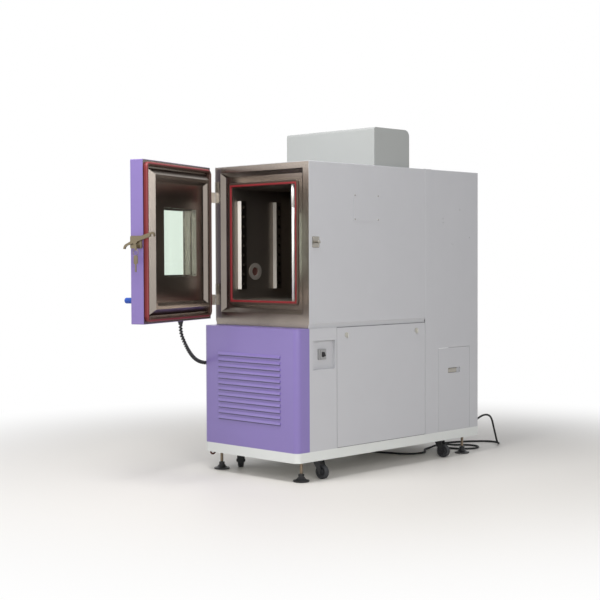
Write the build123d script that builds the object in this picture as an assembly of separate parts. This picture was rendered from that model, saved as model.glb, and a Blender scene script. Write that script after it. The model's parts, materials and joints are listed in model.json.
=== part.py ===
"""Environmental test chamber on casters: a stainless test space behind a hinged, windowed door, on a louvred
machine compartment.

Millimetres. +X is the machine's right as seen from the front, the door faces -Y, +Z is up. The origin is on the
floor, at the centre of the cabinet's footprint. The door stands open at rest.
"""
import os
from math import atan2, cos, degrees, pi, radians, sin, tan

from build123d import *

# Cabinet
cabinet_width = 740.0
upper_depth = 1480.0        # upper cabinet, from the door frame's face to the rear panel
front_step = 95.0           # how far the louvred cover stands ahead of the door frame
floor_clearance = 108.0
skirt_height = 53.0
lower_height = 657.0        # louvred cover, above the skirt
upper_height = 890.0        # upper cabinet, above the louvred cover
sheet = 2.0                 # painted panels
front_section_depth = 1000.0  # from the door frame's face to the middle of the joint strip
joint_strip_width = 57.0
joint_strip_rise = 1.5
cover_corner_radius = 35.0
groove_height = 26.0        # shadow groove round the foot of the upper cabinet
groove_depth = 6.0
casing_corner_radius = 4.0

# Test space and its insulated wall
side_wall = 120.0           # casing, foam and liner together, on each side
space_height = 630.0
space_depth = 500.0         # from the mouth to the duct panel
space_base_z = 961.0
plenum_depth = 340.0        # behind the duct panel
liner_wall = 2.0
liner_corner = 12.0
mouth_recess = 20.0         # from the flange's face to the floor of the recess round the mouth
flange_side = 45.0
flange_top = 35.0
flange_foot = 73.0
chamfer_run = 25.0
frame_sheet = 2.0
seal_width = 22.0
seal_rise = 7.0
foam_fit = 0.4

# Door
door_gap = 20.0             # between the door's inner face and the flange, filled by the gasket
door_thickness = 75.0
door_edge_gap = 3.0         # under the top of the cabinet
door_height = 852.0
door_open_deg = 69.35       # as it stands at rest
door_skin = 2.0
hinge_out = 14.0            # pin axis, outside the door's side
hinge_ahead = 30.0          # pin axis, ahead of the flange's face
window_width = 355.0
window_height = 366.0
glass_thickness = 6.0
ring_start = 43.0           # from the door's edge to the foot of the liner's raised ring
ring_rise_run = 32.0
ring_crest = 17.0
ring_height = 32.0
panel_height = 14.0         # liner panel inside the ring, above the door's inner face
gasket_radius = 9.6
gasket_inset = 22.0

# Door hardware
hinge_height = 119.0
hinge_radius = 10.0
hinge_pin_radius = 5.0
hinge_insets = (136.0, 137.0)  # from the foot and the top of the door
running_fit = 0.05
latch_z = 1278.0
latch_height = 66.0
latch_depth = 24.0          # how far the latch body stands off the door's edge
lever_reach = 114.0         # outward, from the door's inner face
strike_behind = 49.0        # strike pin, behind the flange's face
strike_pin_radius = 6.0
hook_raise_deg = 18.0

# Louvres of the front cover
louvre_count = 12
louvre_pitch = 32.2
louvre_margin = 125.0       # from the louvres' ends to the cover's sides
louvre_top_z = 667.0
louvre_rise = 7.0
louvre_height = 17.0
louvre_sheet = 1.5

# Side panels
frame_tube = 24.0
frame_wall = 2.5
panel_gap = 3.0
access_front = 214.0        # behind the flange's face
access_rear_gap = 29.0      # from the panel's rear edge to the middle of the joint strip
lip_inset = 36.0
lip_depth = 14.0
lock_z = 774.0
lock_insets = (77.0, 81.0)  # from the front and rear edges of the access panel
pocket_front = 28.0
pocket_rear = 200.0
pocket_base_z = 596.0
pocket_top_z = 751.0
pocket_depth = 20.0
switch_behind = 112.0
switch_z = 676.0
flap_gap = 96.0             # from the middle of the joint strip
flap_width = 302.0
flap_height = 494.0
flap_latch_z = 521.0
flap_latch_width = 118.0
flap_latch_height = 31.0

# Shelf rails, cable port and circulation
rail_width = 41.0
rail_depth = 28.0
rail_foot_gap = 58.0        # above the floor of the test space
rail_top_gap = 75.0
rail_behind = (83.0, 361.0)
rail_sheet = 1.5
rail_holes = 9
rail_hole_pitch = 54.0
rail_hole_size = 17.0
port_behind = 196.0
port_rise = 157.0           # above the floor of the test space
port_radius = 25.0
port_flange_radius = 48.0
duct_sheet = 1.5
fan_radius = 105.0
fan_behind = 705.0
fan_drop = 56.0             # below the roof of the test space
fan_shaft_radius = 8.0

# Box on the roof
top_box_inset = 25.0        # from the sides of the cabinet
top_box_front = 553.0
top_box_length = 305.0
top_box_height = 217.0
top_box_front_radius = 14.0
top_box_rear_radius = 38.0
top_box_sheet = 1.5

# Running gear
foot_inset_x = 55.0
foot_inset_y = 85.0
foot_pad_radius = 44.0
foot_pad_height = 40.0
foot_stud_radius = 8.0
caster_inset_x = 65.0
caster_behind = (130.0, 1180.0)
caster_trail = 32.0
wheel_radius = 38.0
wheel_width = 32.0
wheel_bore = 5.0
wheel_lift = 1.0            # the feet carry the cabinet, so the wheels just clear the floor
rail_section = 90.0

# Cables
harness_radius = 11.0
mains_radius = 6.0
mains_gland_inset = 52.0    # from the right side
mains_gland_z = 178.0
mains_gland_out = 20.0      # where its angled nose starts, behind the rear panel
mains_gland_nose = 26.0
mains_gland_way = (0.501, 0.622, 0.602)
outlet_behind = 62.0        # elbow outlet on the left panel, where the door cable ends
outlet_z = 598.0
outlet_depth = 34.0
cord_fit = 0.3

# Worked out from the values above
half_width = cabinet_width / 2
front_y = -(upper_depth + front_step) / 2
frame_y = front_y + front_step
rear_y = frame_y + upper_depth
skirt_top = floor_clearance + skirt_height
lower_top = skirt_top + lower_height
cabinet_top = lower_top + upper_height
seam_y = frame_y + front_section_depth - joint_strip_width / 2
space_width = cabinet_width - 2 * side_wall
space_top_z = space_base_z + space_height
space_z = (space_base_z + space_top_z) / 2
mouth_y = frame_y + mouth_recess
duct_y = mouth_y + space_depth
liner_rear_y = duct_y + plenum_depth
deck_top = lower_top + 3.0
door_top = cabinet_top - door_edge_gap
door_base = door_top - door_height
door_z = (door_top + door_base) / 2
door_inner_y = frame_y - door_gap
door_outer_y = door_inner_y - door_thickness
hinge_axis = Axis((-half_width - hinge_out, frame_y - hinge_ahead, 0), (0, 0, 1))
foot_x = half_width - foot_inset_x
hinge_z = (door_base + hinge_insets[0], door_top - hinge_insets[1])
louvre_width = cabinet_width - 2 * louvre_margin
access_rear = front_section_depth - access_rear_gap
lock_behind = (access_front + lock_insets[0], access_rear - lock_insets[1])
flap_front = front_section_depth + flap_gap
rail_base_z = space_base_z + rail_foot_gap
rail_height = space_height - rail_foot_gap - rail_top_gap
port_z = space_base_z + port_rise
fan_z = space_base_z + space_height - fan_drop
top_box_half = half_width - top_box_inset
caster_x = half_width - caster_inset_x
mains_gland_x = half_width - mains_gland_inset
foot_y = -front_y - foot_inset_y


def behind(distance):
    """Y of a point that lies this far behind the door frame's face."""
    return frame_y + distance


def span(x0, x1, y0, y1, z0, z1):
    """Block between two corners."""
    return Pos((x0 + x1) / 2, (y0 + y1) / 2, (z0 + z1) / 2) * Box(abs(x1 - x0), abs(y1 - y0), abs(z1 - z0))


def rod(start, direction, length, radius):
    """Cylinder from a point, along a direction."""
    plane = Plane(origin=start, z_dir=direction)
    return plane * Pos(0, 0, length / 2) * Cylinder(radius, length)


def plate_xz(width, height, y0, y1, z, radius=0.0):
    """Upright plate with its face towards -Y, centred on X = 0 at height z, with rounded corners."""
    outline = RectangleRounded(width, height, radius) if radius else Rectangle(width, height)
    face = Plane(origin=(0, y0, z), x_dir=(1, 0, 0), z_dir=(0, 1, 0)) * outline
    return extrude(face, y1 - y0)


def frustum_xz(width0, height0, width1, height1, y0, y1, z0, z1):
    """Solid between two upright rectangles, centred on X = 0 at heights z0 and z1."""
    first = Plane(origin=(0, y0, z0), x_dir=(1, 0, 0), z_dir=(0, 1, 0)) * Rectangle(width0, height0)
    last = Plane(origin=(0, y1, z1), x_dir=(1, 0, 0), z_dir=(0, 1, 0)) * Rectangle(width1, height1)
    return loft([first, last])


def open_door(shape):
    """Swing a piece from the closed door's place to where the door stands at rest."""
    return shape.rotate(hinge_axis, -door_open_deg)


def footprint(inset=0.0):
    """Plan of the base: a rectangle with its two front corners rounded."""
    outline = Rectangle(cabinet_width, front_step + upper_depth)
    outline = fillet(outline.vertices().group_by(Axis.Y)[0], cover_corner_radius)
    return offset(outline, -inset) if inset else outline


def opened(x, y, z):
    """Point of the open door, given where it lies with the door closed."""
    turn = radians(-door_open_deg)
    rel_x, rel_y = x - hinge_axis.position.X, y - hinge_axis.position.Y
    return (hinge_axis.position.X + rel_x * cos(turn) - rel_y * sin(turn),
            hinge_axis.position.Y + rel_x * sin(turn) + rel_y * cos(turn), z)


def caster_places():
    """Swivel axis and heading in degrees of each caster, by name."""
    front, rear = behind(caster_behind[0]), behind(caster_behind[1])
    return {
        "front_right": (caster_x, front, 0.0),
        "front_left": (-caster_x, front, -46.0),
        "rear_right": (caster_x, rear, 8.0),
        "rear_left": (-caster_x, rear, 150.0),
    }


def foot_places():
    return {
        "front_right": (foot_x, -foot_y),
        "front_left": (-foot_x, -foot_y),
        "rear_right": (foot_x, foot_y),
        "rear_left": (-foot_x, foot_y),
    }


# Base and running gear

deck_sheet = 3.0
rail_wall = 4.0
caster_plate = 4.0
kingpin_radius = 6.0
lock_nut_height = 10.0
stud_above_pad = 128.0


def base_frame():
    """Folded skirt and deck on two box rails, with a welded plate for each caster."""
    skirt = extrude(Pos(0, 0, floor_clearance) * (footprint() - footprint(deck_sheet)), skirt_height)
    deck = extrude(Pos(0, 0, skirt_top - deck_sheet) * footprint(deck_sheet), deck_sheet)
    base = skirt + deck
    rail_end = -front_y - deck_sheet
    for side in (-1, 1):
        x = side * caster_x
        rail = span(x - rail_section / 2, x + rail_section / 2, -rail_end, rail_end,
                    floor_clearance, skirt_top - deck_sheet)
        hollow = span(x - rail_section / 2 + rail_wall, x + rail_section / 2 - rail_wall, -rail_end, rail_end,
                      floor_clearance + rail_wall, skirt_top - deck_sheet)
        base += rail - hollow
    for x, y, _ in caster_places().values():
        base += span(x - 38, x + 38, y - 48, y + 48, floor_clearance - caster_plate, floor_clearance)
        base -= rod((x, y, floor_clearance - caster_plate), (0, 0, 1), caster_plate + rail_wall,
                    kingpin_radius + running_fit)
    for x, y in foot_places().values():
        base += rod((x, y, floor_clearance + rail_wall), (0, 0, 1), 14, 18)
        base -= rod((x, y, floor_clearance), (0, 0, 1), 30, foot_stud_radius + running_fit)
    return base


def levelling_foot(x, y):
    """Threaded stud with its lock nut, on a coned rubber pad."""
    pad = Pos(x, y, 0) * revolve(Plane.XZ * make_face([
        Polyline((0, foot_pad_height), (0, 0), (foot_pad_radius - 2, 0), (foot_pad_radius, 2)),
        Line((foot_pad_radius, 2), (foot_pad_radius, 8)),
        ThreePointArc((foot_pad_radius, 8), (27, 14), (19, 24)),
        Polyline((19, 24), (16, 26), (16, foot_pad_height), (0, foot_pad_height)),
    ]), Axis.Z)
    stud = Pos(x, y, foot_pad_height) * extrude(Circle(foot_stud_radius), stud_above_pad - 40)
    nut_z = floor_clearance - lock_nut_height - cord_fit
    nut = Pos(x, y, nut_z) * extrude(RegularPolygon(14, 6), lock_nut_height)
    return Compound([pad, stud + nut])


def caster_fork(x, y, heading):
    """Swivel head, two legs and the axle."""
    axle_z = wheel_lift + wheel_radius
    head_top = floor_clearance - caster_plate - cord_fit
    leg_gap = wheel_width / 2 + 2
    leg = Plane.XZ * make_face([
        Polyline((-24, head_top), (26, head_top), (caster_trail + 13, axle_z)),
        ThreePointArc((caster_trail + 13, axle_z), (caster_trail, axle_z - 13), (caster_trail - 13, axle_z)),
        Line((caster_trail - 13, axle_z), (-24, head_top)),
    ])
    fork = Pos(0, -leg_gap, 0) * extrude(leg, 3.5) + Pos(0, leg_gap, 0) * extrude(leg, -3.5)
    fork += span(-24, 26, -leg_gap - 3.5, leg_gap + 3.5, head_top - 5, head_top)
    fork += rod((0, 0, head_top - 14), (0, 0, 1), 14, 23)
    fork += rod((0, 0, head_top), (0, 0, 1), caster_plate + cord_fit, kingpin_radius)
    fork += rod((caster_trail, -leg_gap - 5, axle_z), (0, 1, 0), 2 * leg_gap + 10, wheel_bore)
    for side in (-1, 1):
        fork += rod((caster_trail, side * (leg_gap + 3.5), axle_z), (0, side, 0), 4, 8)
    wheel_space = rod((caster_trail, -leg_gap + 0.5, axle_z), (0, 1, 0), 2 * leg_gap - 1, wheel_radius + 3)
    axle = rod((caster_trail, -leg_gap, axle_z), (0, 1, 0), 2 * leg_gap, wheel_bore)
    fork = fork - wheel_space + axle
    return Pos(x, y, 0) * Rot(0, 0, heading) * fork


def caster_wheel(x, y, heading):
    """Rubber-tyred wheel with a dished web and a hub."""
    axle_z = wheel_lift + wheel_radius
    half = wheel_width / 2
    bore = wheel_bore + running_fit
    profile = make_face([
        Polyline((bore, half), (14, half), (16, 8), (26, 8), (28, half - 2), (wheel_radius - 4, half)),
        ThreePointArc((wheel_radius - 4, half), (wheel_radius - 1, half - 2), (wheel_radius, half - 7)),
        Line((wheel_radius, half - 7), (wheel_radius, 7 - half)),
        ThreePointArc((wheel_radius, 7 - half), (wheel_radius - 1, 2 - half), (wheel_radius - 4, -half)),
        Polyline((wheel_radius - 4, -half), (28, 2 - half), (26, -8), (16, -8), (14, -half), (bore, -half),
                 (bore, half)),
    ])
    wheel = revolve(Plane.XY * profile, Axis.Y)
    return Pos(x, y, 0) * Rot(0, 0, heading) * Pos(caster_trail, 0, axle_z) * wheel


def drain_hose():
    """Short rubber loop under the front left corner of the base."""
    hose_radius = 5.0
    x, y = -half_width + 9.0, front_y + 42.0
    top, low = skirt_top - deck_sheet, floor_clearance - 24.0
    path = FilletPolyline((x, y, top), (x, y, low), (x, y + 34, low), (x, y + 34, top), radius=16.0)
    return sweep(Plane(origin=path @ 0, z_dir=path % 0) * Circle(hose_radius), path)


# Lower cabinet

def louvre(z):
    """Pressed hood over one slot, open at its lower edge."""
    half = louvre_width / 2
    top, foot = z + louvre_height / 2, z - louvre_height / 2

    def wedge(inset, width):
        y_out = front_y - louvre_rise + inset
        face = Plane.YZ * make_face([
            ThreePointArc((front_y + 1, top - inset), (front_y - louvre_rise * 0.62 + inset, z + 1),
                          (y_out, foot - inset)),
            Polyline((y_out, foot - inset), (front_y + 1, foot - inset), (front_y + 1, top - inset)),
        ])
        return Pos(-width / 2, 0, 0) * extrude(face, width)

    hood = wedge(0.0, 2 * half)
    hollow = wedge(louvre_sheet, 2 * half - 2 * louvre_sheet)
    return hood - hollow, hollow + span(-half + 2, half - 2, front_y - 1, front_y + sheet + 1, foot, top - 4)


def front_cover():
    """Louvred cover, bent round both front corners, with a lid and rear lips."""
    half_plan = Pos(0, front_y / 2 + behind(0) / 2, 0) * Rectangle(cabinet_width, front_step)
    plan = fillet(half_plan.vertices().group_by(Axis.Y)[0], cover_corner_radius)
    inner = Pos(0, (front_y + behind(0)) / 2 + sheet / 2, 0) * Rectangle(cabinet_width - 2 * sheet,
                                                                      front_step - sheet)
    inner = fillet(inner.vertices().group_by(Axis.Y)[0], cover_corner_radius - sheet)
    cover = extrude(Pos(0, 0, skirt_top) * (plan - inner), lower_height)
    cover += extrude(Pos(0, 0, lower_top - sheet) * plan, sheet)
    for side in (-1, 1):
        cover += span(side * half_width, side * (half_width - 18), behind(-sheet), behind(0), skirt_top, lower_top)
    for row in range(louvre_count):
        hood, opening = louvre(louvre_top_z - row * louvre_pitch)
        cover = cover - opening + hood
    return cover


def tube_post(x0, y0, z0, z1):
    """Square tube with a closed top end."""
    outer = span(x0, x0 + frame_tube, y0, y0 + frame_tube, z0, z1)
    wall = frame_wall
    return outer - span(x0 + wall, x0 + frame_tube - wall, y0 + wall, y0 + frame_tube - wall, z0, z1 - wall)


def channel_rail(side, y0, y1, z0, z1):
    """Channel along one side, between two posts, open towards the middle."""
    x_out, x_in = side * (half_width - sheet), side * (half_width - sheet - frame_tube)
    wall = frame_wall
    return span(x_out, x_in, y0, y1, z0, z1) - span(x_out - side * wall, x_in, y0, y1, z0 + wall, z1 - wall)


def lower_frame():
    """Eight posts, channel rails round the top and foot, and the deck that carries the insulated box."""
    out = half_width - sheet
    posts_y = [behind(0), behind(access_front - 8), behind(access_rear), rear_y - sheet - frame_tube]
    deck = span(-out + groove_depth, out - groove_depth, behind(0), behind(access_rear) + frame_tube / 2,
                lower_top, deck_top)
    members = [deck]
    for side in (-1, 1):
        x0 = -out if side < 0 else out - frame_tube
        for y0 in posts_y:
            members.append(tube_post(x0, y0, skirt_top, lower_top))
        for y0, y1 in zip(posts_y, posts_y[1:]):
            members.append(channel_rail(side, y0 + frame_tube, y1, skirt_top, skirt_top + frame_tube))
            members.append(channel_rail(side, y0 + frame_tube, y1, lower_top - frame_tube, lower_top))
    for y0 in (posts_y[0], posts_y[2], posts_y[3]):
        beam = span(-out + frame_tube, out - frame_tube, y0, y0 + frame_tube, lower_top - frame_tube, lower_top)
        beam -= span(-out + frame_tube, out - frame_tube, y0 + frame_wall, y0 + frame_tube,
                     lower_top - frame_tube + frame_wall, lower_top - frame_wall)
        members.append(beam)
    return Compound(members)


def sum_of(shapes):
    """Fuse a list of solids."""
    total = shapes[0]
    for shape in shapes[1:]:
        total += shape
    return total


def side_sheet(side, y0, y1, z0, z1):
    """Flat sheet on the outside of the frame."""
    return span(side * half_width, side * (half_width - sheet), y0, y1, z0, z1)


def switch_panel():
    """Fixed panel at the front of the right side, with a square pocket for the main switch."""
    panel = side_sheet(1, behind(0), behind(access_front) - panel_gap / 2, skirt_top, lower_top)
    y0, y1 = behind(pocket_front), behind(pocket_rear)
    pocket = span(half_width, half_width - pocket_depth - sheet, y0 - sheet, y1 + sheet,
                  pocket_base_z - sheet, pocket_top_z + sheet)
    hollow = span(half_width, half_width - pocket_depth, y0, y1, pocket_base_z, pocket_top_z)
    return panel + pocket - hollow


def main_switch():
    """Breaker block on the pocket's back, with a slot for its toggle."""
    floor_x = half_width - pocket_depth
    y = behind(switch_behind)
    block = span(floor_x, floor_x + 9, y - 29, y + 29, switch_z - 28, switch_z + 28)
    block += span(floor_x + 9, floor_x + 13, y - 18, y + 18, switch_z - 24, switch_z + 24)
    slot = rod((floor_x + 8, y - 9, switch_z), (0, 1, 0), 18, 14 + cord_fit)
    return block - slot


def switch_toggle():
    """Toggle of the main switch: a half drum with a finger tab, down as it rests."""
    floor_x = half_width - pocket_depth
    y = behind(switch_behind)
    axis_x = floor_x + 8
    drum = rod((axis_x, y - 9 + cord_fit, switch_z), (0, 1, 0), 18 - 2 * cord_fit, 14)
    drum &= span(axis_x - 2, axis_x + 20, y - 20, y + 20, switch_z - 20, switch_z + 20)
    tab = span(axis_x + 8, axis_x + 19, y - 8, y + 8, switch_z - 4, switch_z + 4)
    tab = fillet(tab.edges().filter_by(Axis.Y).group_by(Axis.X)[-1], 3.5)
    toggle = drum + tab
    return toggle.rotate(Axis((axis_x, y, switch_z), (0, 1, 0)), toggle_rest_deg)


toggle_rest_deg = 22.0


def access_panel():
    """Lift-off panel over the machine compartment, stiffened by a folded rim."""
    y0, y1 = behind(access_front) + panel_gap / 2, behind(access_rear) - panel_gap / 2
    z0, z1 = skirt_top + panel_gap, lower_top - panel_gap
    panel = side_sheet(1, y0, y1, z0, z1)
    rim_x = half_width - sheet
    rim = span(rim_x, rim_x - lip_depth, y0 + lip_inset, y1 - lip_inset, z0 + lip_inset, z1 - lip_inset)
    rim -= span(rim_x, rim_x - lip_depth, y0 + lip_inset + 1.5, y1 - lip_inset - 1.5, z0 + lip_inset + 1.5,
                z1 - lip_inset - 1.5)
    panel += rim
    for distance in lock_behind:
        panel -= rod((half_width, behind(distance), lock_z), (-1, 0, 0), 40, lock_body_radius + running_fit)
    return panel


lock_body_radius = 9.0
lock_tongue_gap = 1.0


def access_lock(distance):
    """Quarter-turn lock: slotted head with a wing outside, tongue inside, turned level as it rests."""
    y = behind(distance)
    tongue_x = half_width - sheet - frame_tube - lock_tongue_gap
    lock = rod((half_width, y, lock_z), (1, 0, 0), 4, 14)
    lock += rod((half_width, y, lock_z), (-1, 0, 0), half_width - tongue_x, lock_body_radius)
    wing = span(half_width + 4, half_width + 13, y - 3, y + 3, lock_z - 17, lock_z + 12)
    lock += fillet(wing.edges().filter_by(Axis.Y), 2.5)
    tongue = span(tongue_x, tongue_x - 4, y - 12, y + 30, lock_z - 8, lock_z + 8)
    return lock + fillet(tongue.edges().filter_by(Axis.X), 6)


def left_lower_panel():
    """Fixed panel over the left of the machine compartment, with the door cable's hole."""
    panel = side_sheet(-1, behind(0), seam_y, skirt_top, lower_top)
    y = behind(outlet_behind) + 20
    return panel - rod((-half_width - 5, y, outlet_z), (1, 0, 0), 20, 13 + running_fit)


compressor_x = 150.0
compressor_behind = 620.0


def compressor():
    """Hermetic compressor on its footed base plate, with suction and discharge stubs."""
    x, y = compressor_x, behind(compressor_behind)
    radius, shell = 85.0, 230.0
    base = skirt_top
    feet = span(x - 105, x + 105, y - 95, y + 95, base + 12, base + 18)
    for sx in (-1, 1):
        for sy in (-1, 1):
            feet += rod((x + sx * 88, y + sy * 78, base), (0, 0, 1), 12, 14)
    can = rod((x, y, base + 18), (0, 0, 1), shell, radius)
    can = fillet(can.edges().filter_by(GeomType.CIRCLE), 30)
    collar = rod((x, y, base + 18 + shell * 0.55), (0, 0, 1), 8, radius + 4)
    cup = span(x - 22, x + 22, y - radius - 30, y - radius + 8, base + 120, base + 190)
    stub = rod((x - 40, y, base + 18 + shell - 12), (0, 0, 1), 50, 7)
    stub += rod((x + 40, y + 10, base + 18 + shell - 12), (0, 0, 1), 42, 5)
    return feet + can + collar + fillet(cup.edges().filter_by(Axis.Y), 8) + stub


condenser_half = half_width - 140.0
condenser_front = 36.0
condenser_core = 66.0
shroud_depth = 60.0
condenser_fan_radius = 165.0
fan_motor_gap = 8.0


def condenser():
    """Finned condenser on legs, its fan shroud, and the fan motor on its cross arm."""
    y0 = behind(condenser_front)
    y1 = y0 + condenser_core
    z0, z1 = skirt_top + 30, lower_top - 60
    mid_z = (z0 + z1) / 2
    half = condenser_half
    block = span(-half, half, y0, y1, z0, z1)
    fin_gap = 18.0
    rows = int((z1 - z0 - 30) / fin_gap)
    for row in range(rows):
        z = z0 + 18 + row * fin_gap
        block -= span(-half + 12, half - 12, y0, y0 + 12, z, z + 9)
    for side in (-1, 1):
        block += span(side * half, side * (half + 14), y0, y1, skirt_top, z1)
    y2 = y1 + shroud_depth
    shroud = span(-half, half, y1, y2, z0, z1) - rod((0, y1, mid_z), (0, 1, 0), shroud_depth,
                                                    condenser_fan_radius + 8)
    hub_y = y2 + 40
    arm = span(-half, half, y2, y2 + 4, mid_z - 14, mid_z + 14)
    arm += rod((0, y2, mid_z), (0, 1, 0), hub_y - y2 + 40, 40)
    arm += rod((0, y2 - 34, mid_z), (0, 1, 0), 34, 6)
    return block + shroud + arm


def condenser_fan():
    """Four pitched blades on a hub that turns on the motor's shaft."""
    y2 = behind(condenser_front) + condenser_core + shroud_depth
    z = (skirt_top + 30 + lower_top - 60) / 2
    hub_y0, hub_y1 = y2 - 38, y2 - fan_motor_gap
    hub = rod((0, hub_y0, z), (0, 1, 0), hub_y1 - hub_y0, 34)
    for turn in range(4):
        blade = Pos(0, (hub_y0 + hub_y1) / 2, z) * Rot(0, turn * 90, 0) * Pos(94, 0, 0) * Rot(28, 0, 0) \
            * Box(136, 2.5, 62)
        hub += blade
    return hub - rod((0, hub_y0, z), (0, 1, 0), 40, 6 + running_fit)


# Upper cabinet

def casing_profile(inset):
    """Section of the upper casing across the cabinet, shrunk by the inset: an arch with a shadow groove."""
    out, top = half_width - inset, cabinet_top - inset
    foot = lower_top
    step = groove_depth
    right = [(out - step, foot), (out - step, foot + groove_height - 14), (out, foot + groove_height)]
    outline = right + [(out, top), (-out, top)] + [(-x, z) for x, z in reversed(right)]
    face = Plane.XZ * make_face(Polyline(*outline, close=True))
    corners = [v for v in face.vertices() if v.Z > top - 1]
    return fillet(corners, max(casing_corner_radius - inset, 1.0))


def casing_core(inset, y0, y1, foot):
    """Solid that fills the casing, less the inset, from one depth to another and above a given height."""
    core = Pos(0, y1, 0) * extrude(casing_profile(inset), y1 - y0)
    return core & span(-half_width, half_width, y0, y1, foot, cabinet_top)


def upper_casing():
    """One bent sheet over both sides and the roof of the insulated box."""
    shell = Pos(0, seam_y, 0) * extrude(casing_profile(0.0), seam_y - frame_y)
    inner = Pos(0, seam_y, 0) * extrude(casing_profile(sheet), seam_y - frame_y)
    casing = shell - inner
    casing -= rod((-half_width - 5, behind(port_behind), port_z), (1, 0, 0), 20, port_radius + 4 + running_fit)
    casing -= rod((0, behind(fan_behind), cabinet_top - 10), (0, 0, 1), 20, 30)
    return casing


def rear_arch(outset, inset=0.0):
    """Section of the rear casing across the cabinet."""
    width = cabinet_width + 2 * outset - 2 * inset
    height = cabinet_top + outset - inset - skirt_top
    face = Plane.XZ * Pos(0, skirt_top + height / 2) * Rectangle(width, height)
    return fillet([v for v in face.vertices() if v.Z > skirt_top + 10], casing_corner_radius)


def rear_casing():
    """Bent sheet round the rear section, with a raised strip over the joint and an opening for the flap."""
    length = rear_y - seam_y
    casing = Pos(0, rear_y, 0) * extrude(rear_arch(0.0), length)
    strip = Pos(0, seam_y + joint_strip_width, 0) * extrude(rear_arch(joint_strip_rise), joint_strip_width)
    casing = casing + strip - Pos(0, rear_y, 0) * extrude(rear_arch(0.0, sheet), length)
    y0 = behind(flap_front)
    casing -= span(half_width + 5, half_width - 5, y0, y0 + flap_width, skirt_top + panel_gap,
                   skirt_top + panel_gap + flap_height)
    for distance, z in rear_holes:
        casing -= rod((half_width + 5, behind(distance), z), (-1, 0, 0), 12, 3.2)
    return casing


rear_holes = ((1142.0, 1424.0), (1142.0, 1400.0), (1302.0, 1478.0), (1396.0, 1314.0), (1227.0, 1274.0))


def rear_panel():
    """Back sheet with two columns of vent slots and the mains gland's hole."""
    panel = Pos(0, rear_y, 0) * extrude(rear_arch(0.0, sheet), sheet)
    for column in (-1, 1):
        for row in range(9):
            z = 420.0 + row * 26.0
            slot = Plane.XZ * Pos(column * 150, z) * SlotOverall(180, 9)
            panel -= Pos(0, rear_y + 1, 0) * extrude(slot, sheet + 2)
    panel -= rod((mains_gland_x, rear_y - 10, mains_gland_z), (0, 1, 0), 20, 11 + running_fit)
    return panel


def top_box():
    """Folded cover on the roof over the fan motor, rounded along its front and rear."""
    y0 = behind(top_box_front)

    def hull(inset):
        face = Plane.YZ * Pos(y0 + top_box_length / 2, cabinet_top + (top_box_height - inset) / 2) * Rectangle(
            top_box_length - 2 * inset, top_box_height - inset)
        rounded = fillet([v for v in face.vertices() if v.Z > cabinet_top + 1 and v.Y < y0 + 20],
                         top_box_front_radius - inset)
        rounded = fillet([v for v in rounded.vertices() if v.Z > cabinet_top + 1 and v.Y > y0 + 250
                          and v.Y > y0 + top_box_length - inset - 1 and v.Z > cabinet_top + top_box_height - 3],
                         top_box_rear_radius - inset)
        width = 2 * (top_box_half - inset)
        return Pos(-width / 2, 0, 0) * extrude(rounded, width)

    box = hull(0.0) - hull(top_box_sheet)
    rim = span(-top_box_half, top_box_half, y0, y0 + top_box_length, cabinet_top, cabinet_top + 2)
    rim -= span(-top_box_half + 14, top_box_half - 14, y0 + 14, y0 + top_box_length - 14, cabinet_top,
                cabinet_top + 2)
    return box + rim


def frame_openings():
    """Width, height and middle height of the opening in the flange, then the size of the recess floor."""
    inner_w = cabinet_width - 2 * flange_side
    inner_h = upper_height - flange_top - flange_foot
    inner_z = lower_top + flange_foot + inner_h / 2
    floor_w, floor_h = inner_w - 2 * chamfer_run, inner_h - 2 * chamfer_run
    return inner_w, inner_h, inner_z, floor_w, floor_h


def door_frame():
    """Stainless frame round the mouth: flange, chamfer, recess floor and a rim that turns back."""
    inner_w, inner_h, inner_z, floor_w, floor_h = frame_openings()
    fs = frame_sheet
    foot = deck_top + foam_fit
    body = casing_core(sheet, frame_y, mouth_y + fs, foot)
    back = casing_core(sheet + fs, frame_y + fs, mouth_y + fs, foot + fs)
    tray = frustum_xz(inner_w + 2 * fs, inner_h + 2 * fs, floor_w + 2 * fs, floor_h + 2 * fs,
                      frame_y, mouth_y + fs, inner_z, inner_z)
    recess = frustum_xz(inner_w, inner_h, floor_w, floor_h, frame_y, mouth_y, inner_z, inner_z)
    mouth = plate_xz(space_width + 2 * liner_wall, space_height + 2 * liner_wall, mouth_y - 5, mouth_y + fs + 5,
                     space_z)
    return body - back + tray - recess - mouth


def cavity_liner():
    """Stainless box that lines the test space and the air plenum behind it."""
    w, h = space_width, space_height
    outer = plate_xz(w + 2 * liner_wall, h + 2 * liner_wall, mouth_y, liner_rear_y + liner_wall, space_z,
                     liner_corner + liner_wall)
    inner = plate_xz(w, h, mouth_y, liner_rear_y, space_z, liner_corner)
    liner = outer - inner
    liner -= rod((-w / 2 - 10, behind(port_behind), port_z), (1, 0, 0), 20, port_radius + 4 + running_fit)
    liner -= rod((0, behind(fan_behind), space_top_z - 10), (0, 0, 1), 20, 20)
    return liner


def cavity_seal():
    """Soft red seal round the mouth."""
    w, h = space_width + 2, space_height + 2
    outer = plate_xz(w + 2 * seal_width, h + 2 * seal_width, mouth_y - seal_rise, mouth_y, space_z, 20)
    inner = plate_xz(w, h, mouth_y - seal_rise, mouth_y, space_z, 10)
    seal = outer - inner
    return fillet(seal.edges().group_by(Axis.Y)[0], 3.0)


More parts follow.
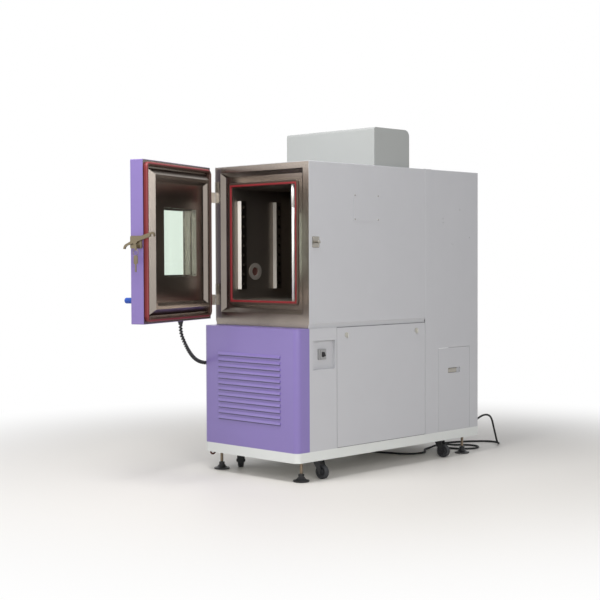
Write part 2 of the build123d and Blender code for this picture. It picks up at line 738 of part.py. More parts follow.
def insulation():
    """Foam between the liner and the casing."""
    body = casing_core(sheet + foam_fit, mouth_y + frame_sheet + foam_fit, seam_y - foam_fit, deck_top)
    body -= plate_xz(space_width + 2 * liner_wall + 2 * foam_fit, space_height + 2 * liner_wall + 2 * foam_fit,
                     mouth_y, liner_rear_y + liner_wall + foam_fit, space_z)
    body -= rod((-half_width - 5, behind(port_behind), port_z), (1, 0, 0), 200, port_radius + 4 + foam_fit)
    body -= rod((0, behind(fan_behind), space_top_z), (0, 0, 1), 200, 20)
    return body


def shelf_rails():
    """Four hat-section rails with square holes, two on each wall of the test space."""
    rails = []
    wall = space_width / 2
    for side in (-1, 1):
        for distance in rail_behind:
            y = behind(distance)
            z0, z1 = rail_base_z, rail_base_z + rail_height
            x_in = side * (wall - rail_depth)
            rail = span(side * wall, x_in, y - rail_width / 2, y + rail_width / 2, z0, z1)
            rail -= span(side * wall, x_in + side * rail_sheet, y - rail_width / 2 + rail_sheet,
                         y + rail_width / 2 - rail_sheet, z0, z1)
            for hole in range(rail_holes):
                z = (z0 + z1) / 2 + (hole - (rail_holes - 1) / 2) * rail_hole_pitch
                size = rail_hole_size / 2
                rail -= span(x_in - side, x_in + side * 3, y - size, y + size, z - size, z + size)
            rails.append(rail)
    return Compound(rails)


def duct_panel():
    """Panel across the back of the test space: intake grille below, outlet slot above."""
    w = space_width - 1.0
    z0, z1 = space_base_z + liner_corner, space_top_z - 60.0
    panel = span(-w / 2, w / 2, duct_y, duct_y + duct_sheet, z0, z1)
    for side in (-1, 1):
        panel += span(side * w / 2, side * (w / 2 - duct_sheet), duct_y, duct_y + 30, z0, z1)
    panel += span(-w / 2, w / 2, duct_y, duct_y + 20, z1 - duct_sheet, z1)
    for row in range(7):
        slot = Plane.XZ * Pos(0, space_base_z + 70 + row * 22) * SlotOverall(280, 10)
        panel -= Pos(0, duct_y + 5, 0) * extrude(slot, 10)
    return panel


def fan_motor():
    """Motor on the roof: flanged foot, finned barrel and terminal box."""
    x, y, z = 0.0, behind(fan_behind), cabinet_top
    foot = span(x - 75, x + 75, y - 75, y + 75, z, z + 6)
    barrel = rod((x, y, z + 6), (0, 0, 1), 150, 62)
    barrel = fillet(barrel.edges().group_by(Axis.Z)[-1], 14)
    fins = sum_of([Pos(x, y, z + 80) * Rot(0, 0, turn * 22.5) * Box(138, 4, 110) for turn in range(8)])
    box = span(x + 55, x + 92, y - 28, y + 28, z + 50, z + 115)
    return foot + barrel + fins + box - rod((x, y, z - 1), (0, 0, 1), 60, fan_shaft_radius + running_fit)


def fan_rotor():
    """Centrifugal wheel with curved blades, on the shaft that comes down through the roof."""
    x, y = 0.0, behind(fan_behind)
    shaft = rod((x, y, fan_z - 42), (0, 0, 1), cabinet_top + 50 - fan_z + 42, fan_shaft_radius)
    hub = rod((x, y, fan_z - 42), (0, 0, 1), 44, 22)
    back = rod((x, y, fan_z), (0, 0, 1), 3, fan_radius)
    blades = []
    for turn in range(12):
        arc = ThreePointArc((60, -6), (84, 5), (fan_radius - 2, 22))
        blade = extrude(make_face(offset(arc, 1.0, side=Side.BOTH)), 40)
        blades.append(Pos(x, y, fan_z - 40) * Rot(0, 0, turn * 30) * blade)
    ring = rod((x, y, fan_z - 42), (0, 0, 1), 2.5, fan_radius) - rod((x, y, fan_z - 42), (0, 0, 1), 2.5, 66)
    return sum_of([shaft + hub + back + ring] + blades)


def air_coils():
    """Cooling coil in the plenum, with header tubes, and the heater loops above it."""
    y = (duct_y + liner_rear_y) / 2
    x, z0 = 200.0, space_base_z + 30.0
    height, depth = 300.0, 90.0
    coil = span(-x, x, y - depth / 2, y + depth / 2, z0, z0 + height)
    for row in range(9):
        z = z0 + 20 + row * 31
        coil -= span(-x + 10, x - 10, y - depth / 2, y + depth / 2, z, z + 10)
    for sx in (-1, 1):
        coil += rod((sx * (x + 5), y, z0), (0, 0, 1), height, 8)
        coil += span(sx * (x - 4), sx * (x + 10), y - 12, y + 12, space_base_z, z0 + 4)
    heater_z = z0 + height
    heater = coil
    for loop in range(3):
        z = heater_z + 40 + loop * 26
        ring = rod((-x + 20, y, z), (1, 0, 0), 2 * x - 40, 6)
        heater += ring
    for sx in (-1, 1):
        heater += span(sx * (x - 22), sx * (x - 14), y - 14, y + 14, heater_z, heater_z + 104)
    return heater


def port_sleeve():
    """Stainless sleeve through the left wall, with a flange at each end."""
    y = behind(port_behind)
    inside_x, outside_x = -space_width / 2, -half_width
    tube = rod((outside_x - 3, y, port_z), (1, 0, 0), inside_x - outside_x + 6, port_radius + 4)
    tube += rod((inside_x, y, port_z), (1, 0, 0), 3, port_flange_radius)
    tube += rod((outside_x - 3, y, port_z), (1, 0, 0), 3, port_radius + 17)
    return tube - rod((outside_x - 5, y, port_z), (1, 0, 0), 200, port_radius)


def port_plug():
    """Silicone plug that pulls out of the port to the left."""
    y = behind(port_behind)
    inside_x, outside_x = -space_width / 2, -half_width
    length = inside_x - outside_x - 4
    plug = rod((outside_x - 3, y, port_z), (1, 0, 0), length, port_radius - running_fit)
    head = rod((outside_x - 3, y, port_z), (-1, 0, 0), 16, port_radius + 8)
    return plug + fillet(head.edges().group_by(Axis.X)[0], 4)


def strike_plate():
    """Plate on the right side with the pin that the door's hook catches."""
    y = behind(strike_behind)
    plate = span(half_width, half_width + 4, y - 26, y + 26, latch_z - 30, latch_z + 30)
    plate = fillet(plate.edges().filter_by(Axis.X), 6)
    pin = rod((half_width + 4, y, latch_z), (1, 0, 0), 23, strike_pin_radius)
    head = rod((half_width + 26, y, latch_z), (1, 0, 0), 5, strike_pin_radius + 2.5)
    return plate + pin + fillet(head.edges().group_by(Axis.X)[-1], 2)


# Door, modelled closed and then swung open

def door_shell():
    """Painted pan of the door, with the window's opening."""
    y0, y1 = door_outer_y, door_inner_y
    shell = plate_xz(cabinet_width, door_height, y0, y1, door_z)
    shell = fillet(shell.edges().filter_by(Axis.Y), 4)
    shell = fillet(shell.faces().sort_by(Axis.Y)[0].edges(), 3)
    shell -= plate_xz(cabinet_width - 2 * door_skin, door_height - 2 * door_skin, y0 + door_skin, y1, door_z)
    shell -= plate_xz(window_width + 4, window_height + 4, y0 - 5, y1, door_z, 8)
    return open_door(shell)


def door_liner():
    """Stainless inner skin: a flat rim, a raised ring, a panel and the window's tunnel to the outer face."""
    skin = door_skin
    w, h = cabinet_width - 2 * skin - 0.2, door_height - 2 * skin - 0.2
    y = door_inner_y
    start, crest = 2 * ring_start, 2 * (ring_start + ring_rise_run)
    top = y + ring_height
    crest_w, crest_h = cabinet_width - crest, door_height - crest
    dip_w, dip_h = crest_w - 2 * ring_crest, crest_h - 2 * ring_crest
    fall = ring_height - panel_height
    outer = plate_xz(w, h, y - skin, y, door_z)
    outer += frustum_xz(cabinet_width - start, door_height - start, crest_w, crest_h, y, top, door_z, door_z)
    dish = frustum_xz(dip_w, dip_h, dip_w - 2 * fall, dip_h - 2 * fall, top, top - fall, door_z, door_z)
    hollow = frustum_xz(cabinet_width - start - 4, door_height - start - 4, crest_w - 4, crest_h - 4,
                        y - skin, top - skin, door_z, door_z)
    hollow -= frustum_xz(dip_w + 4, dip_h + 4, dip_w + 4 - 2 * fall, dip_h + 4 - 2 * fall, top, top - fall,
                         door_z, door_z)
    hollow -= plate_xz(dip_w - 2 * fall + 8, dip_h - 2 * fall + 8, top - fall - skin, top - fall + 0.01, door_z)
    liner = outer - dish - hollow
    tunnel_y = door_outer_y + door_skin
    tunnel = plate_xz(window_width + 4, window_height + 4, tunnel_y, top - fall, door_z, 8)
    liner += tunnel
    liner -= plate_xz(window_width, window_height, tunnel_y - 5, top, door_z, 6)
    for y_bead in pane_places():
        bead = plate_xz(window_width + 2, window_height + 2, y_bead - 3, y_bead, door_z)
        bead -= plate_xz(window_width - 16, window_height - 16, y_bead - 3, y_bead, door_z, 4)
        liner += bead
    return open_door(liner)


def pane_places():
    """Y of the outer face of each pane of the closed door: one near each skin."""
    return (door_outer_y + door_skin + 6.0, door_inner_y - 22.0)


def window_glass():
    """Two panes with an air gap between them."""
    panes = [open_door(plate_xz(window_width - 0.6, window_height - 0.6, y, y + glass_thickness, door_z, 5.7))
             for y in pane_places()]
    return Compound(panes)


def door_gasket():
    """Red bulb gasket round the door's rim, with rounded corners."""
    y0 = door_inner_y
    w, h = cabinet_width - 2 * gasket_inset, door_height - 2 * gasket_inset
    r = gasket_radius
    base = plate_xz(w + 2 * r, h + 2 * r, y0, y0 + r, door_z, 34) - plate_xz(w - 2 * r, h - 2 * r, y0, y0 + r,
                                                                          door_z, 34 - 2 * r)
    bulb = plate_xz(w + 2 * r, h + 2 * r, y0 + r, y0 + 2 * r, door_z, 34) - plate_xz(
        w - 2 * r, h - 2 * r, y0 + r, y0 + 2 * r, door_z, 34 - 2 * r)
    bulb = fillet(bulb.edges().group_by(Axis.Y)[-1], r - 1.2)
    return open_door(base + bulb)


def hinge_frame_leaves():
    """Lower halves of the two lift-off hinges: leaf on the cabinet's side, barrel and pin."""
    ax, ay = hinge_axis.position.X, hinge_axis.position.Y
    leaves = []
    for z in hinge_z:
        z0, z1 = z - hinge_height / 2, z - 1.0
        barrel = rod((ax, ay, z0), (0, 0, 1), z1 - z0, hinge_radius)
        arm = span(ax - hinge_radius, -half_width - 0.5, ay, behind(12), z0, z1)
        leaf = span(-half_width - 5, -half_width, behind(2), behind(46), z0, z + hinge_height / 2)
        leaf = fillet(leaf.edges().filter_by(Axis.X).group_by(Axis.Y)[-1], 6)
        pin = rod((ax, ay, z1), (0, 0, 1), hinge_height / 2 - 6, hinge_pin_radius)
        leaves.append(barrel + arm + leaf + pin)
    return Compound(leaves)


def hinge_door_leaves():
    """Upper halves of the hinges: leaf on the door's side and the barrel that drops over the pin."""
    ax, ay = hinge_axis.position.X, hinge_axis.position.Y
    leaves = []
    for z in hinge_z:
        z0, z1 = z, z + hinge_height / 2
        barrel = rod((ax, ay, z0), (0, 0, 1), z1 - z0, hinge_radius)
        arm = span(ax - hinge_radius, -half_width - 0.5, door_inner_y - 22, ay, z0, z1)
        leaf = span(-half_width - 5, -half_width, door_inner_y - 60, door_inner_y - 16, z - hinge_height / 2, z1)
        leaf = fillet(leaf.edges().filter_by(Axis.X).group_by(Axis.Y)[0], 6)
        bore = rod((ax, ay, z0), (0, 0, 1), hinge_height / 2 - 6, hinge_pin_radius + running_fit)
        leaves.append(open_door(barrel + arm + leaf - bore))
    return Compound(leaves)


latch_axis_y = door_inner_y - door_thickness / 2
latch_bore = 9.0


def latch_body():
    """Latch case on the door's free edge, with the lever's bore and the lock barrel below it."""
    x = half_width
    case = span(x, x + latch_depth - 13, door_outer_y + 4, door_inner_y - 3, latch_z - latch_height / 2,
                latch_z + latch_height / 2)
    case = fillet(case.edges().filter_by(Axis.X), 8)
    boss = rod((x, latch_axis_y, latch_z + 6), (1, 0, 0), latch_depth - 9, 17)
    barrel = rod((x, latch_axis_y + 10, latch_z - 22), (1, 0, 0), latch_depth, 9.5)
    body = case + boss + barrel
    body -= rod((x + 3, latch_axis_y, latch_z + 6), (1, 0, 0), latch_depth, latch_bore + running_fit)
    body -= rod((x + 6, latch_axis_y + 10, latch_z - 22), (1, 0, 0), latch_depth, 4 + running_fit)
    return open_door(body)


def latch_lever():
    """Lever outside, hook inside, on one spindle: raised clear of the strike as it rests."""
    x0 = half_width + latch_depth - 9 + cord_fit
    x1 = x0 + 9
    z = latch_z + 6
    spindle = rod((half_width + 3 + cord_fit, latch_axis_y, z), (1, 0, 0), x1 - half_width - 3 - cord_fit,
                  latch_bore)
    hub = rod((x0, latch_axis_y, z), (1, 0, 0), 9, 16)
    hook_tip = behind(strike_behind) + strike_pin_radius + 10
    throat = strike_pin_radius + 1.0
    pin_y = behind(strike_behind)
    face = Plane.YZ * make_face(Polyline(
        (latch_axis_y, z - 8), (pin_y - throat - 3, z - 8), (pin_y - throat, z + 1.5), (pin_y + throat, z + 1.5),
        (pin_y + throat + 1, z - 16), (hook_tip, z - 12), (hook_tip, z + 5), (hook_tip - 10, z + 12),
        (latch_axis_y, z + 13), close=True))
    arm = Pos(x0, 0, 0) * extrude(face, 9)
    tip_y = door_inner_y - lever_reach
    handle_path = [
        Line((latch_axis_y, z + 9), (tip_y + 30, z + 2)),
        ThreePointArc((tip_y + 30, z + 2), (tip_y + 10, z - 4), (tip_y, z - 18)),
        Line((tip_y, z - 18), (tip_y + 9, z - 22)),
        ThreePointArc((tip_y + 9, z - 22), (tip_y + 18, z - 13), (tip_y + 34, z - 9)),
        Polyline((tip_y + 34, z - 9), (latch_axis_y, z - 9), (latch_axis_y, z + 9)),
    ]
    handle = Pos(x0, 0, 0) * extrude(Plane.YZ * make_face(handle_path), 9)
    lever = spindle + hub + arm + handle
    lever = lever.rotate(Axis((0, latch_axis_y, z), (1, 0, 0)), hook_raise_deg)
    return open_door(lever)


def lock_key():
    """Key in the latch's lock, with its split ring and the spare key that hangs from it."""
    x = half_width + latch_depth
    y, z = latch_axis_y + 10, latch_z - 22
    blade = rod((half_width + 7, y, z), (1, 0, 0), latch_depth - 2, 4)
    bow = span(x + 3, x + 6, y - 5, y + 5, z - 22, z + 10)
    bow = fillet(bow.edges().filter_by(Axis.X), 4)
    key = blade + bow - rod((x, y, z - 16), (1, 0, 0), 10, 2.5)
    ring = Pos(x + 4.5, y, z - 32) * Rot(0, 0, 90) * Rot(90, 0, 0) * Torus(15, 1.2)
    spare = span(x + 3, x + 6, y - 12, y + 12, z - 92, z - 46)
    spare = fillet(spare.edges().filter_by(Axis.X), 9)
    tag = span(x + 3, x + 6, y - 4, y + 4, z - 132, z - 92)
    return open_door(key + ring + spare + tag)


grip_inset = 90.0
grip_rise = 120.0


def door_grip():
    """Blue round-ended grip that stands off the door's outer face near its free edge."""
    x, z = half_width - grip_inset, door_base + grip_rise
    grip = rod((x, door_outer_y, z), (0, -1, 0), 90, 15.5)
    grip = fillet(grip.edges().group_by(Axis.Y)[0], 10)
    return open_door(grip + rod((x, door_outer_y, z), (0, -1, 0), 8, 19))


control_left = -170.0
control_rise = 47.0         # above the foot of the door
control_width = 300.0
control_height = 150.0


def control_panel():
    """Control panel on the door's outer face, below the window: raised bezel with a blank screen and keys."""
    x0, z0 = control_left, door_base + control_rise
    x1, z1 = x0 + control_width, z0 + control_height
    y = door_outer_y
    bezel = fillet(span(x0, x1, y, y - 10, z0, z1).edges().filter_by(Axis.Y), 10)
    bezel = fillet(bezel.faces().sort_by(Axis.Y)[0].edges(), 3)
    bezel -= span(x0 + 22, x0 + 192, y - 8, y - 12, z0 + 20, z1 - 20)
    for row in range(3):
        bezel += fillet(span(x1 - 80, x1 - 30, y - 10, y - 13, z0 + 24 + row * 38, z0 + 46 + row * 38)
                        .edges().filter_by(Axis.Y), 4)
    return open_door(bezel)


# Cables

harness_exit_t = 285.0
harness_exit_in = 37.0
gland_length = 22.0


def door_gland():
    """Cable gland under the door, where the door cable leaves it."""
    x, y = -half_width + harness_exit_t, door_inner_y - harness_exit_in
    gland = rod((x, y, door_base), (0, 0, -1), 8, 15)
    gland += Pos(x, y, door_base - gland_length) * Cone(11, 14, gland_length - 8, align=(
        Align.CENTER, Align.CENTER, Align.MIN))
    return open_door(gland)


def cable_glands():
    """Elbow outlet of the door cable, on the left panel, and angled gland of the mains cable, in the rear panel."""
    y = behind(outlet_behind)
    elbow = span(-half_width - outlet_depth, -half_width, y, y + 40, outlet_z - 17, outlet_z + 17)
    elbow = fillet(elbow.edges().filter_by(Axis.Z).group_by(Axis.X)[0], 10)
    elbow += rod((-half_width + 10, y + 20, outlet_z), (-1, 0, 0), 10, 13)
    elbow += rod((-half_width - outlet_depth / 2, y, outlet_z), (0, -1, 0), gland_length - 8, 14)
    back = rod((mains_gland_x, rear_y, mains_gland_z), (0, 1, 0), 7, 15)
    back += rod((mains_gland_x, rear_y - 10, mains_gland_z), (0, 1, 0), 10, 11)
    ball = (mains_gland_x, rear_y + mains_gland_out, mains_gland_z)
    stem = rod((mains_gland_x, rear_y + 6, mains_gland_z), (0, 1, 0), mains_gland_out + 6, 11)
    stem = chamfer(stem.edges().group_by(Axis.Y)[-1], 4)
    back += stem + rod(ball, mains_gland_way, mains_gland_nose, 9)
    return Compound([elbow, back])


def cord_tube(points, radius, least):
    """Round tube through hand-chosen points, each corner an arc as large as its two runs allow."""
    corners = [Vector(*p) for p in points]
    radii = []
    for before, corner, after in zip(corners, corners[1:], corners[2:]):
        turn = radians((corner - before).get_angle(after - corner))
        run = min((corner - before).length, (after - corner).length)
        radii.append(0.45 * run / tan(turn / 2))
    path = FilletPolyline(*corners, radius=radii)
    tube = sweep(Plane(origin=path @ 0, z_dir=path % 0) * Circle(radius), path)
    expected = pi * radius ** 2 * path.length
    print("cord", round(path.length), "mm, least radius", round(min(radii)), "of", least,
          "volume ratio", round(tube.volume / expected, 4))
    return tube


def harness_points():
    """Route of the door cable, from the gland under the open door to the outlet on the left panel."""
    x, y, z = opened(-half_width + harness_exit_t, door_inner_y - harness_exit_in, door_base - gland_length)
    end_x, end_y = -half_width - outlet_depth / 2, behind(outlet_behind) - gland_length + 8
    return [
        (x, y, z),
        (x, y, z - 41),
        (-301.0, behind(-304.0), 748.0),
        (-306.0, behind(-277.0), 708.0),
        (-320.0, behind(-240.0), 672.0),
        (-341.0, behind(-196.0), 643.0),
        (-362.0, behind(-150.0), 622.0),
        (-379.0, behind(-103.0), 608.0),
        (-386.0, behind(-52.0), 600.0),
        (end_x, behind(0.0), outlet_z),
        (end_x, end_y, outlet_z),
    ]


def mains_points():
    """Route of the mains cable: up from its gland, down to the floor, a loop behind the cabinet, then under it."""
    lying = mains_radius + 0.2
    nose = [c + mains_gland_nose * w for c, w in zip((mains_gland_x, rear_y + mains_gland_out, mains_gland_z),
                                                     mains_gland_way)]
    return [
        tuple(nose),
        tuple(c + 38 * w for c, w in zip(nose, mains_gland_way)),
        (362.0, rear_y + 96, 224.0),
        (363.0, rear_y + 134, 214.0),
        (355.0, rear_y + 166, 190.0),
        (342.0, rear_y + 196, 158.0),
        (328.0, rear_y + 226, 124.0),
        (314.0, rear_y + 257, 91.0),
        (300.0, rear_y + 287, 59.0),
        (286.0, rear_y + 316, 31.0),
        (272.0, rear_y + 346, 11.0),
        (258.0, rear_y + 378, lying),
        (232.0, rear_y + 402, lying),
        (198.0, rear_y + 412, lying),
        (163.0, rear_y + 406, lying),
        (131.0, rear_y + 388, lying),
        (96.0, rear_y + 352, lying),
        (60.0, rear_y + 310, lying),
        (34.0, rear_y + 264, lying),
        (14.0, rear_y + 216, lying),
        (0.0, rear_y + 166, lying),
        (-6.0, rear_y + 116, lying),
        (4.0, rear_y + 66, lying),
        (34.0, rear_y + 24, lying),
        (80.0, rear_y - 2, lying),
        (132.0, rear_y - 10, lying),
        (184.0, rear_y - 4, lying),
        (230.0, rear_y + 16, lying),
        (264.0, rear_y + 52, lying),
        (280.0, rear_y + 98, lying),
        (270.0, rear_y + 146, lying),
        (236.0, rear_y + 180, lying),
        (190.0, rear_y + 190, lying),
        (146.0, rear_y + 174, lying),
        (112.0, rear_y + 140, lying),
        (92.0, rear_y + 96, 9.0),
        (80.0, rear_y + 50, 18.0),
        (74.0, rear_y + 0, 22.0),
        (70.0, rear_y - 50, 15.0),
        (68.0, rear_y - 100, 7.0),
        (78.0, rear_y - 150, lying),
        (108.0, rear_y - 192, lying),
        (146.0, rear_y - 228, lying),
        (162.0, rear_y - 276, lying),
        (156.0, rear_y - 326, lying),
        (130.0, rear_y - 368, lying),
        (88.0, rear_y - 396, lying),
        (38.0, rear_y - 410, lying),
        (-14.0, rear_y - 424, lying),
        (-64.0, rear_y - 442, lying),
        (-110.0, rear_y - 462, lying),
    ]


def mains_plug():
    """Three-pin plug at the end of the mains cable, lying on the floor under the cabinet."""
    points = [Vector(*p) for p in mains_points()]
    last, before = points[-1], points[-2]
    heading = degrees(atan2(last.Y - before.Y, last.X - before.X))
    axis_z = 17.0
    body = span(26, 62, -20, 20, -16.8, 16)
    body = fillet(body.edges().filter_by(Axis.X), 9)
    neck = Pos(0, 0, mains_radius + 0.2 - axis_z) * Rot(0, 90, 0) * Cone(mains_radius + 1.5, 11, 27, align=(
        Align.CENTER, Align.CENTER, Align.MIN))
    neck -= span(-5, 30, -20, 20, -40, -axis_z)
    plug = body + neck
    plug += rod((62, 0, 8), (1, 0, 0), 20, 3.5)
    for side in (-1, 1):
        plug += rod((62, side * 9, -6), (1, 0, 0), 18, 3.0)
    return Pos(last.X, last.Y, axis_z) * Rot(0, 0, heading) * plug


# Rear service flap

def rear_door():
    """Bottom-hinged service flap: sheet with a folded rim and a recess for its latch."""
    y0 = behind(flap_front) + 1.5
    y1 = y0 + flap_width - 3.0
    z0, z1 = skirt_top + panel_gap + 0.6, skirt_top + panel_gap + flap_height - 1.5
    flap = side_sheet(1, y0, y1, z0, z1)
    rim = span(half_width - sheet, half_width - sheet - lip_depth, y0 + 8, y1 - 8, z0 + frame_tube, z1 - 8)
    rim -= span(half_width - sheet, half_width - sheet - lip_depth, y0 + 9.5, y1 - 9.5, z0 + frame_tube + 1.5,
                z1 - 9.5)
    flap += rim
    y = (y0 + y1) / 2
    w, h = flap_latch_width / 2, flap_latch_height / 2
    flap += span(half_width, half_width - 14, y - w - 2, y + w + 2, flap_latch_z - h - 2, flap_latch_z + h + 2)
    flap -= span(half_width, half_width - 12, y - w, y + w, flap_latch_z - h, flap_latch_z + h)
    return flap


def rear_door_latch():
    """Paddle in the flap's recess, on a pin along its top edge."""
    y = behind(flap_front) + flap_width / 2
    w, h = flap_latch_width / 2 - 0.5, flap_latch_height / 2 - 0.5
    axis_x, axis_z = half_width - 5.5, flap_latch_z + h - 4.5
    paddle = span(half_width - 3, half_width - 6, y - w + 2, y + w - 34, flap_latch_z - h + 2, axis_z)
    paddle += rod((axis_x, y - w, axis_z), (0, 1, 0), 2 * w - 32, 3.5)
    return paddle


PARTS = {
    "base_frame": base_frame,
    "drain_hose": drain_hose,
    "lower_frame": lower_frame,
    "front_cover": front_cover,
    "switch_panel": switch_panel,
    "left_lower_panel": left_lower_panel,
    "access_panel": access_panel,
    "access_lock_front": lambda: access_lock(lock_behind[0]),
    "access_lock_rear": lambda: access_lock(lock_behind[1]),
    "main_switch": main_switch,
    "switch_toggle": switch_toggle,
    "compressor": compressor,
    "condenser": condenser,
    "condenser_fan": condenser_fan,
    "upper_casing": upper_casing,
    "rear_casing": rear_casing,
    "rear_panel": rear_panel,
    "rear_door": rear_door,
    "rear_door_latch": rear_door_latch,
    "top_box": top_box,
    "door_frame": door_frame,
    "cavity_liner": cavity_liner,
    "cavity_seal": cavity_seal,
    "insulation": insulation,
    "shelf_rails": shelf_rails,
    "duct_panel": duct_panel,
    "fan_motor": fan_motor,
    "fan_rotor": fan_rotor,
    "air_coils": air_coils,
    "port_sleeve": port_sleeve,
    "port_plug": port_plug,
    "strike_plate": strike_plate,
    "hinge_frame_leaves": hinge_frame_leaves,
    "hinge_door_leaves": hinge_door_leaves,
    "door_shell": door_shell,
    "door_liner": door_liner,
    "window_glass": window_glass,
    "door_gasket": door_gasket,
    "latch_body": latch_body,
    "latch_lever": latch_lever,
    "lock_key": lock_key,
    "door_grip": door_grip,
    "control_panel": control_panel,
    "door_gland": door_gland,
    "cable_glands": cable_glands,
    "door_harness": lambda: cord_tube(harness_points(), harness_radius, 5 * 2 * harness_radius),
    "mains_cord": lambda: cord_tube(mains_points(), mains_radius, 5 * 2 * mains_radius),
    "mains_plug": mains_plug,
}
for place, (x, y) in foot_places().items():
    PARTS["foot_" + place] = lambda x=x, y=y: levelling_foot(x, y)
for place, (x, y, heading) in caster_places().items():
    PARTS["caster_fork_" + place] = lambda x=x, y=y, h=heading: caster_fork(x, y, h)
    PARTS["caster_wheel_" + place] = lambda x=x, y=y, h=heading: caster_wheel(x, y, h)

os.makedirs("parts", exist_ok=True)
for name, make in PARTS.items():
    export_step(make(), f"parts/{name}.step")
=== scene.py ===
"""Looks for the environmental test chamber: finishes, small fittings, cords, floor, light and camera."""

import json
import math

import bmesh
import bpy
from mathutils import Matrix, Vector

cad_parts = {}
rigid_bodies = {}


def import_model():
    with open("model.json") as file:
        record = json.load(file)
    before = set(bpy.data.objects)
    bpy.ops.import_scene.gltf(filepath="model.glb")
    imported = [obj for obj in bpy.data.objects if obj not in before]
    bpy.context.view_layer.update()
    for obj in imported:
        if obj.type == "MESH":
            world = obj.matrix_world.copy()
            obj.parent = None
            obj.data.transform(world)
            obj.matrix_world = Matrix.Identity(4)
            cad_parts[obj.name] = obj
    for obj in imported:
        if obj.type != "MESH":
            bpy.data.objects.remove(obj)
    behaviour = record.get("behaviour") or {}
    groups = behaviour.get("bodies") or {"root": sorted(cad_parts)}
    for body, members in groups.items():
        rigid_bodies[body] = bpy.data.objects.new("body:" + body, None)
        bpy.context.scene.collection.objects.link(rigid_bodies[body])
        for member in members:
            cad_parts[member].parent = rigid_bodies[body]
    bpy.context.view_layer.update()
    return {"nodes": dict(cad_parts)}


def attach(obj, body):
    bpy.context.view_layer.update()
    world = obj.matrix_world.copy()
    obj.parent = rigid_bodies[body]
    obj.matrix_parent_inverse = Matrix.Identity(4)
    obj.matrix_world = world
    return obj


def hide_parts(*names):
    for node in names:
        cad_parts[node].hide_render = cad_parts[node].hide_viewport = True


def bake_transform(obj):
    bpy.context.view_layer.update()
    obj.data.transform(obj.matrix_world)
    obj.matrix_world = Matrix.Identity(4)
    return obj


for leftover in list(bpy.data.objects):
    bpy.data.objects.remove(leftover)
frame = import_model()
nodes = frame["nodes"]
scene = bpy.context.scene

# The same driving dimensions as the part, in metres
HALF = 0.370                             # half the cabinet's width
FRAME_Y = -0.6925                        # face of the door frame
COVER_Y = FRAME_Y - 0.095                # face of the louvred cover
REAR_Y = 0.7875
PLATE_UNDER_Z = 0.104                    # underside of the caster plates
MOUTH_MIDDLE_Z = 1.276
DOOR_OPEN = math.radians(-69.35)
HINGE = Vector((-0.384, FRAME_Y - 0.030, 0.0))
DOOR_INNER_Y = FRAME_Y - 0.020
DOOR_OUTER_Y = DOOR_INNER_Y - 0.075
DOOR_FOOT = 0.853
DOOR_MIDDLE_Z = 1.279

# The photograph's frame and viewpoint
FRAME_PIXELS = 600.0
FOCAL_PIXELS = 1293.5324
SENSOR_WIDTH = 36.0
EYE = (5.12245, -5.61343, 1.18465)
EYE_PAN, EYE_TILT, EYE_ROLL = 0.7752, -0.0312, 0.0039

COAT_ROUGHNESS = 0.28


def behind(d):
    """Y of a point this far behind the door frame's face."""
    return FRAME_Y + d


def on_door(p):
    """A point of the closed door, moved to the open door."""
    return Matrix.Rotation(DOOR_OPEN, 3, "Z") @ (Vector(p) - HINGE) + HINGE


# Camera

def camera():
    """Camera at the photograph's viewpoint."""
    data = bpy.data.cameras.new("camera")
    data.sensor_width = SENSOR_WIDTH
    data.lens = FOCAL_PIXELS / FRAME_PIXELS * SENSOR_WIDTH
    data.clip_start, data.clip_end = 0.1, 60.0
    turn = (Matrix.Rotation(EYE_PAN, 3, "Z") @ Matrix.Rotation(EYE_TILT, 3, "X")
            @ Matrix.Rotation(EYE_ROLL, 3, "Y"))
    right, forward, up = turn.col[0], turn.col[1], turn.col[2]
    axes = Matrix((right, up, -forward)).transposed()
    eye = bpy.data.objects.new("camera", data)
    eye.matrix_world = Matrix.Translation(EYE) @ axes.to_4x4()
    scene.collection.objects.link(eye)
    scene.camera = eye


camera()


# Finishes

def linear(r, g, b):
    """Linear colour of a display colour in 0 to 255."""
    def one(c):
        c /= 255.0
        return c / 12.92 if c <= 0.04045 else ((c + 0.055) / 1.055) ** 2.4
    return one(r), one(g), one(b), 1.0


